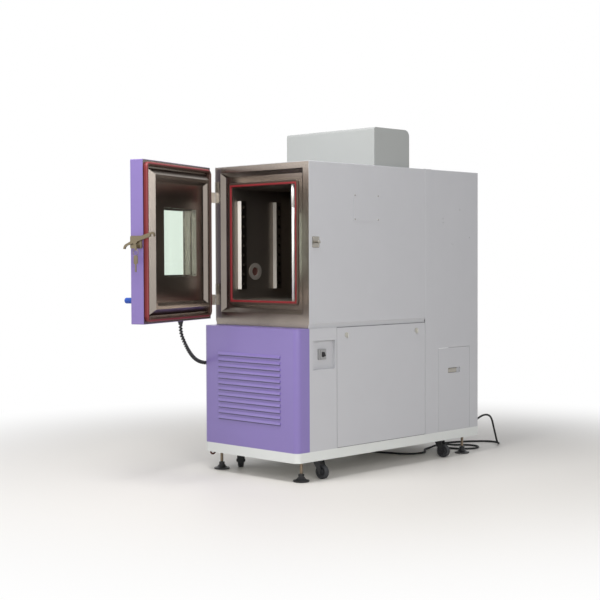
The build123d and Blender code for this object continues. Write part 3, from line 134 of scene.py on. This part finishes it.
def finish(name, colour, rough, metal=0.0, grain=0.0, grain_scale=900.0, stretch=None, mottled=0.0,
           coat=0.0):
    """Principled finish with a fine bump, and an uneven tone when mottled."""
    made = bpy.data.materials.new(name)
    made.use_nodes = True
    tree = made.node_tree
    shader = tree.nodes["Principled BSDF"]
    shader.inputs["Base Color"].default_value = colour
    shader.inputs["Roughness"].default_value = rough
    shader.inputs["Metallic"].default_value = metal
    shader.inputs["Coat Weight"].default_value = coat
    shader.inputs["Coat Roughness"].default_value = COAT_ROUGHNESS
    place = tree.nodes.new("ShaderNodeTexCoord")
    scaled = tree.nodes.new("ShaderNodeMapping")
    scaled.inputs["Scale"].default_value = stretch or (1.0, 1.0, 1.0)
    tree.links.new(place.outputs["Object"], scaled.inputs["Vector"])
    if grain:
        noise = tree.nodes.new("ShaderNodeTexNoise")
        noise.inputs["Scale"].default_value = grain_scale
        noise.inputs["Detail"].default_value = 3.0
        bump = tree.nodes.new("ShaderNodeBump")
        bump.inputs["Strength"].default_value = grain
        bump.inputs["Distance"].default_value = 0.0004
        tree.links.new(scaled.outputs["Vector"], noise.inputs["Vector"])
        tree.links.new(noise.outputs["Fac"], bump.inputs["Height"])
        tree.links.new(bump.outputs["Normal"], shader.inputs["Normal"])
    if mottled:
        cloud = tree.nodes.new("ShaderNodeTexNoise")
        cloud.inputs["Scale"].default_value = 7.0
        cloud.inputs["Detail"].default_value = 4.0
        tone = tree.nodes.new("ShaderNodeMix")
        tone.data_type = "RGBA"
        tone.inputs["A"].default_value = colour
        tone.inputs["B"].default_value = tuple(c * (1.0 - mottled) for c in colour[:3]) + (1.0,)
        tree.links.new(place.outputs["Object"], cloud.inputs["Vector"])
        tree.links.new(cloud.outputs["Fac"], tone.inputs["Factor"])
        tree.links.new(tone.outputs["Result"], shader.inputs["Base Color"])
    return made


def plug_in(tree, kind, operation, first, second=None):
    """Math or vector math node fed by sockets or numbers."""
    node = tree.nodes.new(kind)
    node.operation = operation
    for socket, given in zip(node.inputs, (first, second)):
        if given is None:
            continue
        if isinstance(given, (int, float, tuple)):
            socket.default_value = given
        else:
            tree.links.new(given, socket)
    return node.outputs["Value"] if operation in ("DOT_PRODUCT", "LENGTH") else node.outputs[0]


def maths(tree, operation, first, second=None):
    """Plain math node fed by sockets or numbers."""
    return plug_in(tree, "ShaderNodeMath", operation, first, second)


def place_axis(tree, axis):
    """One coordinate of the point being shaded, in the object's own frame."""
    place = tree.nodes.new("ShaderNodeSeparateXYZ")
    tree.links.new(tree.nodes.new("ShaderNodeTexCoord").outputs["Object"], place.inputs[0])
    return place.outputs[axis]


def two_tone(made, mask, colour, metal):
    """Give a finish a second colour and metalness where the mask is 1."""
    tree = made.node_tree
    shader = tree.nodes["Principled BSDF"]
    tone = tree.nodes.new("ShaderNodeMix")
    tone.data_type = "RGBA"
    tone.inputs["B"].default_value = colour
    base = shader.inputs["Base Color"]
    if base.is_linked:
        tree.links.new(base.links[0].from_socket, tone.inputs["A"])
    else:
        tone.inputs["A"].default_value = base.default_value
    tree.links.new(mask, tone.inputs["Factor"])
    tree.links.new(tone.outputs["Result"], base)
    shine = tree.nodes.new("ShaderNodeMix")
    shine.inputs["A"].default_value = shader.inputs["Metallic"].default_value
    shine.inputs["B"].default_value = metal
    tree.links.new(mask, shine.inputs["Factor"])
    tree.links.new(shine.outputs["Result"], shader.inputs["Metallic"])
    return made


def rail_steel_painted_light():
    """Rail steel with painted light: the front face of each rail is painted as a bright highlight, and the
    other faces keep a darkened steel as painted shade.
    """
    # Darkened steel, painted shade for the rail faces that face away from the light.
    made = finish("rail_steel_painted_light", linear(96, 90, 84), 0.30, metal=1.0)
    tree = made.node_tree
    rail_middles, rail_half, skin = (0.083, 0.361), 0.0205, 0.0012
    depth = place_axis(tree, "Y")
    near = []
    for middle in rail_middles:
        off = maths(tree, "ABSOLUTE", maths(tree, "SUBTRACT", depth, behind(middle - rail_half)))
        near.append(maths(tree, "LESS_THAN", off, skin))
    # The near-white, less metallic front faces are a painted highlight.
    return two_tone(made, maths(tree, "MAXIMUM", *near), linear(240, 236, 228), 0.2)


def louvred_paint_painted_shadow():
    """Purple paint of the cover, with a painted shadow: a dark band on the panel just under the lip of each
    louvre, where the hood's shade falls.
    """
    made = finish("cover_paint_painted_shadow", linear(126, 109, 172), 0.42, grain=0.10, mottled=0.05, coat=0.5)
    tree = made.node_tree
    count, pitch, top_row, half_height = 12, 0.0322, 0.667, 0.0085
    # lip and gap bound the band of painted shadow below each hood's lip.
    lip, gap, half_width, skin = 0.0012, 0.0062, 0.245, 0.0004
    rows = maths(tree, "MULTIPLY", maths(tree, "SUBTRACT", place_axis(tree, "Z"), top_row), -1.0 / pitch)
    part = maths(tree, "FRACT", rows)
    inside = [
        maths(tree, "GREATER_THAN", part, (half_height - lip) / pitch),
        maths(tree, "LESS_THAN", part, (half_height + gap) / pitch),
        maths(tree, "GREATER_THAN", rows, 0.0),
        maths(tree, "LESS_THAN", rows, float(count)),
        maths(tree, "LESS_THAN", maths(tree, "ABSOLUTE", place_axis(tree, "X")), half_width),
        maths(tree, "GREATER_THAN", place_axis(tree, "Y"), COVER_Y - skin),
    ]
    mask = inside[0]
    for other in inside[1:]:
        mask = maths(tree, "MULTIPLY", mask, other)
    # The dark purple is painted shadow under each louvre, not a different paint.
    return two_tone(made, mask, linear(70, 58, 108), 0.0)


def foot_look():
    """Black pad and collar below, plated stud above."""
    made = finish("foot_black", linear(26, 26, 28), 0.45, grain=0.15)
    collar_top = 0.045
    above = maths(made.node_tree, "GREATER_THAN", place_axis(made.node_tree, "Z"), collar_top)
    return two_tone(made, above, linear(128, 114, 98), 0.85)


def ring_depth(tree, middle, across, half_width, half_height):
    """Distance out of an upright rectangle with that middle and half sizes, its width along a direction."""
    from_middle = plug_in(tree, "ShaderNodeVectorMath", "SUBTRACT",
                          tree.nodes.new("ShaderNodeTexCoord").outputs["Object"], middle)
    sides = []
    for way, half in ((across, half_width), ((0.0, 0.0, 1.0), half_height)):
        along = plug_in(tree, "ShaderNodeVectorMath", "DOT_PRODUCT", from_middle, way)
        sides.append(maths(tree, "SUBTRACT", maths(tree, "ABSOLUTE", along), half))
    return maths(tree, "MAXIMUM", *sides)


def seal_look():
    """Red lip next to the mouth, dark outer half."""
    made = finish("seal_red", linear(126, 26, 32), 0.5, grain=0.05)
    half_width, half_height, lip = 0.251, 0.316, 0.011
    depth = ring_depth(made.node_tree, (0.0, 0.0, MOUTH_MIDDLE_Z), (1.0, 0.0, 0.0), half_width, half_height)
    mask = maths(made.node_tree, "GREATER_THAN", depth, lip)
    return two_tone(made, mask, linear(92, 80, 72), 0.9)


def gasket_look():
    """Red outer half of the door's gasket, brown inner half."""
    made = finish("gasket_red", linear(122, 38, 42), 0.5, grain=0.05)
    half_width, half_height, edge = 0.348, 0.404, -0.001
    across = Matrix.Rotation(DOOR_OPEN, 3, "Z") @ Vector((1.0, 0.0, 0.0))
    middle = on_door((0.0, DOOR_INNER_Y, DOOR_MIDDLE_Z))
    depth = ring_depth(made.node_tree, tuple(middle), tuple(across), half_width, half_height)
    mask = maths(made.node_tree, "LESS_THAN", depth, edge)
    return two_tone(made, mask, linear(74, 50, 42), 0.0)


def window_pane():
    """Clear glass with a slight green tint."""
    made = bpy.data.materials.new("pane")
    made.use_nodes = True
    shader = made.node_tree.nodes["Principled BSDF"]
    shader.inputs["Base Color"].default_value = linear(242, 250, 243)
    shader.inputs["Roughness"].default_value = 0.03
    shader.inputs["Transmission Weight"].default_value = 1.0
    shader.inputs["IOR"].default_value = 1.2
    return made


PURPLE = finish("purple_paint", linear(132, 113, 176), 0.42, grain=0.10, mottled=0.05, coat=0.4)
GREY = finish("grey_paint", linear(190, 190, 193), 0.50, grain=0.10, mottled=0.04)
PALE = finish("pale_paint", linear(215, 217, 214), 0.50, grain=0.10, mottled=0.03)
DARK_PAINT = finish("dark_paint", linear(90, 90, 92), 0.6)
STEEL = finish("stainless", linear(150, 141, 133), 0.24, metal=1.0, grain=0.12, grain_scale=260.0,
               stretch=(1.0, 1.0, 14.0), mottled=0.22)
STEEL_DARK = finish("stainless_inside", linear(132, 124, 116), 0.46, metal=1.0, grain=0.12,
                    grain_scale=260.0, stretch=(1.0, 14.0, 1.0), mottled=0.15)
ZINC = finish("zinc", linear(200, 198, 192), 0.28, metal=1.0, mottled=0.08)
CHROME = finish("bright_metal", linear(160, 156, 148), 0.22, metal=1.0, mottled=0.2)
LATCH = finish("worn_brass", linear(142, 130, 108), 0.3, metal=1.0, mottled=0.3)
BROWN_RED = finish("port_silicone", linear(72, 40, 34), 0.5)
SWITCH = finish("switch_case", linear(150, 150, 150), 0.45)
PALE_ROOF = finish("roof_paint", linear(160, 162, 160), 0.50, grain=0.10, mottled=0.03)
BLACK = finish("black_plastic", linear(28, 28, 30), 0.5, grain=0.08)
RUBBER = finish("black_rubber", linear(24, 24, 25), 0.72, grain=0.10)
WRAP = finish("spiral_wrap", linear(27, 27, 29), 0.40)
BLUE = finish("blue_plastic", linear(36, 84, 182), 0.4)
BROWN = finish("brown_rubber", linear(96, 52, 42), 0.6)
TYRE = finish("grey_tyre", linear(46, 47, 50), 0.7, grain=0.1, mottled=0.2)
FOAM = finish("foam", linear(222, 206, 168), 0.9)
CAST = finish("black_enamel", linear(30, 30, 33), 0.45, grain=0.15)
ALU = finish("aluminium_fins", linear(178, 180, 184), 0.4, metal=1.0)
SCREEN = finish("screen", linear(20, 26, 30), 0.12)
PANE = window_pane()
RAIL_PAINTED_LIGHT = rail_steel_painted_light()
FOOT = foot_look()
SEAL = seal_look()
GASKET = gasket_look()
PORT = finish("port_ring", linear(172, 165, 157), 0.4, metal=0.7)
COVER_PAINTED_SHADOW = louvred_paint_painted_shadow()
# Near-white finish for the rod that is a painted highlight in the mouth.
PAINTED_HIGHLIGHT_STRIP = finish("painted_highlight_strip", linear(240, 240, 236), 0.35, metal=0.2)

LOOKS = {
    "front_cover": COVER_PAINTED_SHADOW, "door_shell": PURPLE, "upper_casing": GREY,
    "base_frame": PALE, "top_box": PALE_ROOF,
    "switch_panel": GREY, "left_lower_panel": GREY, "access_panel": GREY, "rear_casing": GREY,
    "rear_panel": GREY, "rear_door": GREY, "lower_frame": DARK_PAINT,
    "door_frame": STEEL, "door_liner": STEEL, "cavity_liner": STEEL_DARK, "shelf_rails": RAIL_PAINTED_LIGHT,
    "duct_panel": STEEL_DARK, "port_sleeve": PORT,
    "cavity_seal": SEAL, "door_gasket": GASKET, "port_plug": BROWN_RED,
    "main_switch": SWITCH, "switch_toggle": RUBBER, "rear_door_latch": CHROME, "control_panel": BLACK,
    "door_gland": BLACK, "cable_glands": BLACK, "mains_plug": BLACK, "mains_cord": RUBBER,
    "door_harness": RUBBER, "drain_hose": BROWN,
    "access_lock_front": ZINC, "access_lock_rear": ZINC, "strike_plate": CHROME, "hinge_frame_leaves": ZINC,
    "hinge_door_leaves": ZINC, "latch_body": LATCH, "latch_lever": LATCH, "lock_key": LATCH,
    "door_grip": BLUE, "window_glass": PANE, "insulation": FOAM, "compressor": CAST, "fan_motor": CAST,
    "condenser": ALU, "condenser_fan": ALU, "fan_rotor": ALU, "air_coils": ALU,
}
FAMILIES = {"foot_": FOOT, "caster_fork": CAST, "caster_wheel": TYRE}

for name, node in nodes.items():
    look = LOOKS.get(name)
    for start, shared in FAMILIES.items():
        if name.startswith(start):
            look = shared
    node.data.materials.clear()
    node.data.materials.append(look)


# Small fittings, and a painted highlight in the mouth

def new_piece(name, data, look):
    """Object in the scene with this mesh or curve and one look."""
    data.materials.append(look)
    piece = bpy.data.objects.new(name, data)
    scene.collection.objects.link(piece)
    return piece


def new_mesh(name, bm):
    """Mesh data made from a bmesh, which is freed."""
    data = bpy.data.meshes.new(name)
    bm.to_mesh(data)
    bm.free()
    return data


def mesh_object(name, bm, look, body):
    """Object made from a bmesh that rides on a body."""
    piece = new_piece(name, new_mesh(name, bm), look)
    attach(piece, body)
    return piece


def block(name, low, high, look, body, bevel=0.0):
    """Box between two corners, its edges rounded when a bevel is given."""
    bm = bmesh.new()
    size = [b - a for a, b in zip(low, high)]
    middle = [(a + b) / 2 for a, b in zip(low, high)]
    bmesh.ops.create_cube(bm, size=1.0, matrix=Matrix.Translation(middle) @ Matrix.Diagonal((*size, 1.0)))
    if bevel:
        bmesh.ops.bevel(bm, geom=bm.edges[:], offset=bevel, segments=2, affect="EDGES")
    return mesh_object(name, bm, look, body)


def screw(name, place, axis, radius, look, rise):
    """Domed screw head on the cabinet with a cross, flat on a face."""
    bm = bmesh.new()
    turn = Vector(axis).to_track_quat("Z", "Y").to_matrix().to_4x4()
    at = Matrix.Translation(Vector(place)) @ turn
    crown, slot_length, slot_width, slot_depth = 0.7, 1.1, 0.22, 0.0002
    bmesh.ops.create_cone(bm, cap_ends=True, segments=20, radius1=radius, radius2=radius * crown, depth=rise,
                          matrix=at @ Matrix.Translation((0, 0, rise / 2)))
    slot = Matrix.Diagonal((radius * slot_length, radius * slot_width, slot_depth, 1.0))
    top = at @ Matrix.Translation((0, 0, rise))
    for angle in (0.0, math.pi / 2):
        bmesh.ops.create_cube(bm, size=1.0, matrix=top @ Matrix.Rotation(angle, 4, "Z") @ slot)
    mesh_object(name, bm, look, "cabinet")


def screws(name, places, axis, radius, look, rise=0.0015):
    """Numbered screws, one at each place."""
    for count, place in enumerate(places):
        screw(f"{name}_{count}", place, axis, radius, look, rise)


def cover_plate():
    """Blank plate with four screws on the right side of the upper casing."""
    y0, y1, z0, z1 = behind(0.350), behind(0.567), 1.393, 1.549
    thick, inset = 0.0015, 0.012
    block("cover_plate", (HALF, y0, z0), (HALF + thick, y1, z1), GREY, "cabinet", 0.0005)
    places = [(HALF + thick, y, z) for y in (y0 + inset, y1 - inset) for z in (z0 + inset, z1 - inset)]
    screws("cover_plate_screw", places, (1, 0, 0), 0.0045, CHROME)


def caster_bolts():
    """Four bolts through each caster plate."""
    x, front, rear = 0.305, behind(0.130), behind(1.180)
    plates = {"front_right": (x, front), "front_left": (-x, front),
              "rear_right": (x, rear), "rear_left": (-x, rear)}
    for plate, (x, y) in plates.items():
        places = [(x + dx, y + dy, PLATE_UNDER_Z) for dx in (-0.030, 0.030) for dy in (-0.038, 0.038)]
        screws(f"caster_bolt_{plate}", places, (0, 0, -1), 0.0065, ZINC, 0.004)


def mouth_painted_highlight():
    """Painted highlight: a bright upright rod inside the right edge of the mouth, standing in for the
    reflection of light on the liner's rounded corner, from the floor to the roof of the test space.
    """
    bm = bmesh.new()
    low, step, high = 0.961, 1.470, 1.591
    x, y = 0.2205, behind(0.032)
    for z0, z1, radius in ((low, step, 0.0080), (step, high, 0.0100)):
        bmesh.ops.create_cone(bm, cap_ends=True, segments=24, radius1=radius, radius2=radius, depth=z1 - z0,
                              matrix=Matrix.Translation((x, y, (z0 + z1) / 2)))
    piece = mesh_object("mouth_painted_highlight", bm, PAINTED_HIGHLIGHT_STRIP, "cabinet")
    for face in piece.data.polygons:
        face.use_smooth = abs(face.normal.z) < 0.5


def hinge_screws():
    """Two screws in each hinge leaf on the cabinet's left side."""
    places = [(-HALF - 0.005, behind(0.030), z + dz) for z in (0.989, 1.568) for dz in (-0.040, 0.040)]
    screws("hinge_screw", places, (-1, 0, 0), 0.006, ZINC)


def strike_screws():
    """Small screws of the strike plate."""
    x, y, z = HALF + 0.004, behind(0.049), 1.278
    places = [(x, y + dy, z + dz) for dy in (-0.018, 0.018) for dz in (-0.022, 0.022)]
    screws("strike_screw", places, (1, 0, 0), 0.0038, CHROME, 0.001)


def panel_screen():
    """Dark screen glass in the control panel's bezel."""
    size = (0.168, 0.001, 0.108)
    bm = bmesh.new()
    bmesh.ops.create_cube(bm, size=1.0, matrix=Matrix.Diagonal((*size, 1.0)))
    spot = on_door((-0.063, DOOR_OUTER_Y - 0.0085, 0.975))
    bm.transform(Matrix.Translation(spot) @ Matrix.Rotation(DOOR_OPEN, 4, "Z"))
    mesh_object("panel_screen", bm, SCREEN, "door")


cover_plate()
caster_bolts()
mouth_painted_highlight()
hinge_screws()
strike_screws()
panel_screen()


# Cords

def nurbs_cord(name, points, radius, look):
    """Round cord along a smooth curve of order 3 through the listed control points."""
    data = bpy.data.curves.new(name, "CURVE")
    data.dimensions = "3D"
    data.bevel_depth = radius
    data.bevel_resolution = 5
    data.resolution_u = 12
    data.use_fill_caps = True
    line = data.splines.new("NURBS")
    line.points.add(len(points) - 1)
    for p, place in zip(line.points, points):
        p.co = (*place, 1.0)
    line.order_u = 3
    line.use_endpoint_u = True
    return new_piece(name, data, look)


def mains_points():
    """From the gland's nose down to the floor, a loop behind the cabinet, then under it."""
    lying = 0.0062
    r = REAR_Y
    way = Vector((0.501, 0.622, 0.602))
    nose = Vector((0.318, r + 0.020, 0.178)) + way * 0.026
    return [
        tuple(nose), tuple(nose + way * 0.038),
        (0.362, r + 0.096, 0.224), (0.363, r + 0.134, 0.214), (0.355, r + 0.166, 0.190),
        (0.342, r + 0.196, 0.158), (0.328, r + 0.226, 0.124), (0.314, r + 0.257, 0.091),
        (0.300, r + 0.287, 0.059), (0.286, r + 0.316, 0.031), (0.272, r + 0.346, 0.011),
        (0.258, r + 0.378, lying), (0.232, r + 0.402, lying), (0.198, r + 0.412, lying),
        (0.163, r + 0.406, lying), (0.131, r + 0.388, lying), (0.096, r + 0.352, lying),
        (0.060, r + 0.310, lying), (0.034, r + 0.264, lying), (0.014, r + 0.216, lying),
        (0.000, r + 0.166, lying), (-0.006, r + 0.116, lying), (0.004, r + 0.066, lying),
        (0.034, r + 0.024, lying), (0.080, r - 0.002, lying), (0.132, r - 0.010, lying),
        (0.184, r - 0.004, lying), (0.230, r + 0.016, lying), (0.264, r + 0.052, lying),
        (0.280, r + 0.098, lying), (0.270, r + 0.146, lying), (0.236, r + 0.180, lying),
        (0.190, r + 0.190, lying), (0.146, r + 0.174, lying), (0.112, r + 0.140, lying),
        (0.092, r + 0.096, 0.009), (0.080, r + 0.050, 0.018), (0.074, r, 0.022),
        (0.070, r - 0.050, 0.015), (0.068, r - 0.100, 0.007), (0.078, r - 0.150, lying),
        (0.108, r - 0.192, lying), (0.146, r - 0.228, lying), (0.162, r - 0.276, lying),
        (0.156, r - 0.326, lying), (0.130, r - 0.368, lying), (0.088, r - 0.396, lying),
        (0.038, r - 0.410, lying), (-0.014, r - 0.424, lying), (-0.064, r - 0.442, lying),
        (-0.110, r - 0.462, lying),
    ]


def mains_cord():
    """Mains cable that lies on the floor, with the plug on its end."""
    radius = 0.006
    piece = nurbs_cord("mains_flex", mains_points(), radius, RUBBER)
    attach(piece, "cabinet")
    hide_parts("mains_cord")


def harness_points():
    """Route of the door cable, from the gland under the open door to the outlet on the left panel."""
    gland = on_door((-HALF + 0.285, DOOR_INNER_Y - 0.037, DOOR_FOOT - 0.022))
    return [
        gland, gland - Vector((0, 0, 0.041)),
        (-0.301, behind(-0.304), 0.748), (-0.306, behind(-0.277), 0.708), (-0.320, behind(-0.240), 0.672),
        (-0.341, behind(-0.196), 0.643), (-0.362, behind(-0.150), 0.622), (-0.379, behind(-0.103), 0.608),
        (-0.386, behind(-0.052), 0.600), (-0.387, behind(0.0), 0.598), (-0.387, behind(0.048), 0.598),
    ]


def smooth_line(points, steps):
    """Points along the order 3 NURBS, clamped at its ends, that has these control points."""
    control = [Vector(p) for p in points]
    knots = [(a + b) / 2 for a, b in zip(control[1:-2], control[2:-1])]
    corners = [control[0], *knots, control[-1]]
    line = []
    for a, b, c in zip(corners, control[1:-1], corners[1:]):
        for step in range(steps):
            t = step / steps
            line.append(a * (1 - t) ** 2 + b * 2 * t * (1 - t) + c * t * t)
    return line + [corners[-1]]


def evenly(line, gap):
    """The same line with its points this far apart."""
    run = [0.0]
    for a, b in zip(line, line[1:]):
        run.append(run[-1] + (b - a).length)
    count = round(run[-1] / gap)
    spaced, at = [], 0
    for step in range(count + 1):
        want = run[-1] * step / count
        while at < len(run) - 2 and run[at + 1] < want:
            at += 1
        span = run[at + 1] - run[at]
        spaced.append(line[at].lerp(line[at + 1], (want - run[at]) / span if span else 0.0))
    return spaced, run[-1]


def wrap_radius(off, core, wire, middle):
    """Radius of the coiled cable's skin, this far along it from the middle of the wire."""
    if abs(off) >= wire:
        return core
    return max(core, middle + math.sqrt(max(wire * wire - off * off, 0.0)))


def door_harness():
    """Coiled door cable: a tube whose skin rises and falls along a helix round the smooth line."""
    core, wire, middle, pitch, around = 0.0042, 0.0052, 0.0060, 0.0165, 20
    line, length = evenly(smooth_line(harness_points(), 24), 0.0009)
    bm = bmesh.new()
    side = Vector((1, 0, 0))
    rings = []
    for index, place in enumerate(line):
        ahead = line[min(index + 1, len(line) - 1)] - line[max(index - 1, 0)]
        ahead.normalize()
        side = (side - ahead * side.dot(ahead)).normalized()
        up = ahead.cross(side)
        ring = []
        for step in range(around):
            angle = 2 * math.pi * step / around
            phase = (index * length / (len(line) - 1) / pitch - step / around) % 1.0
            radius = wrap_radius((phase - 0.5) * pitch, core, wire, middle)
            ring.append(bm.verts.new(place + (side * math.cos(angle) + up * math.sin(angle)) * radius))
        rings.append(ring)
    for ring, following in zip(rings, rings[1:]):
        for step in range(around):
            after = (step + 1) % around
            bm.faces.new((ring[step], ring[after], following[after], following[step]))
    bm.faces.new(list(reversed(rings[0])))
    bm.faces.new(rings[-1])
    for face in bm.faces:
        face.smooth = True
    piece = new_piece("harness_wrap", new_mesh("harness_wrap", bm), WRAP)
    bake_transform(piece)
    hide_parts("door_harness")


mains_cord()
door_harness()


# Floor, light and background

def pale_floor():
    """Pale floor that takes the shadow near the object and is seen to fade to white far from it."""
    fade_from, fade_to = 1.2, 3.6
    made = finish("floor_paint", linear(226, 222, 216), 0.55)
    tree = made.node_tree
    place = tree.nodes.new("ShaderNodeTexCoord").outputs["Object"]
    ramp = tree.nodes.new("ShaderNodeMapRange")
    tree.links.new(plug_in(tree, "ShaderNodeVectorMath", "LENGTH", place), ramp.inputs["Value"])
    ramp.interpolation_type = "SMOOTHSTEP"
    ramp.inputs["From Min"].default_value = fade_from
    ramp.inputs["From Max"].default_value = fade_to
    white = tree.nodes.new("ShaderNodeEmission")
    mix = tree.nodes.new("ShaderNodeMixShader")
    tree.links.new(maths(tree, "MULTIPLY", ramp.outputs["Result"], seen_ray(tree)), mix.inputs["Fac"])
    tree.links.new(tree.nodes["Principled BSDF"].outputs[0], mix.inputs[1])
    tree.links.new(white.outputs[0], mix.inputs[2])
    tree.links.new(mix.outputs[0], tree.nodes["Material Output"].inputs["Surface"])
    return made


def seen_ray(tree):
    """1 for rays from the camera, off a shiny surface or through glass."""
    path = tree.nodes.new("ShaderNodeLightPath")
    seen = path.outputs["Is Camera Ray"]
    for kind in ("Is Glossy Ray", "Is Transmission Ray"):
        seen = maths(tree, "MAXIMUM", seen, path.outputs[kind])
    return seen


def floor():
    """Flat floor out to 60 m."""
    bm = bmesh.new()
    bmesh.ops.create_grid(bm, x_segments=1, y_segments=1, size=60.0)
    piece = new_piece("floor", new_mesh("floor", bm), pale_floor())


def area_light(name, place, target, size, power):
    """White soft light that points at a target."""
    data = bpy.data.lights.new(name, "AREA")
    data.shape = "RECTANGLE"
    data.size, data.size_y = size
    data.energy = power
    lamp = bpy.data.objects.new(name, data)
    lamp.location = place
    lamp.rotation_mode = "QUATERNION"
    lamp.rotation_quaternion = (Vector(target) - Vector(place)).to_track_quat("-Z", "Y")
    scene.collection.objects.link(lamp)


def surroundings():
    """Even room light, and plain white for what the camera sees beyond the floor."""
    world = bpy.data.worlds.new("room")
    scene.world = world
    world.use_nodes = True
    tree = world.node_tree
    tree.nodes.clear()
    out = tree.nodes.new("ShaderNodeOutputWorld")
    mix = tree.nodes.new("ShaderNodeMixShader")
    room, white = tree.nodes.new("ShaderNodeBackground"), tree.nodes.new("ShaderNodeBackground")
    room.inputs["Color"].default_value = (0.80, 0.82, 0.86, 1.0)
    room.inputs["Strength"].default_value = 0.46
    white.inputs["Color"].default_value = (1.0, 1.0, 1.0, 1.0)
    tree.links.new(seen_ray(tree), mix.inputs["Fac"])
    tree.links.new(room.outputs["Background"], mix.inputs[1])
    tree.links.new(white.outputs["Background"], mix.inputs[2])
    tree.links.new(mix.outputs["Shader"], out.inputs["Surface"])
    area_light("ceiling", (0.3, -2.0, 3.8), (0.0, -0.4, 0.6), (1.6, 1.2), 95)
    area_light("key", (5.2, -3.8, 2.6), (0.1, -0.2, 0.9), (2.2, 2.2), 150)
    area_light("front_fill", (-2.4, -4.6, 1.6), (-0.1, -0.8, 0.9), (2.0, 2.0), 22)


floor()
surroundings()
scene.view_settings.view_transform = "Standard"
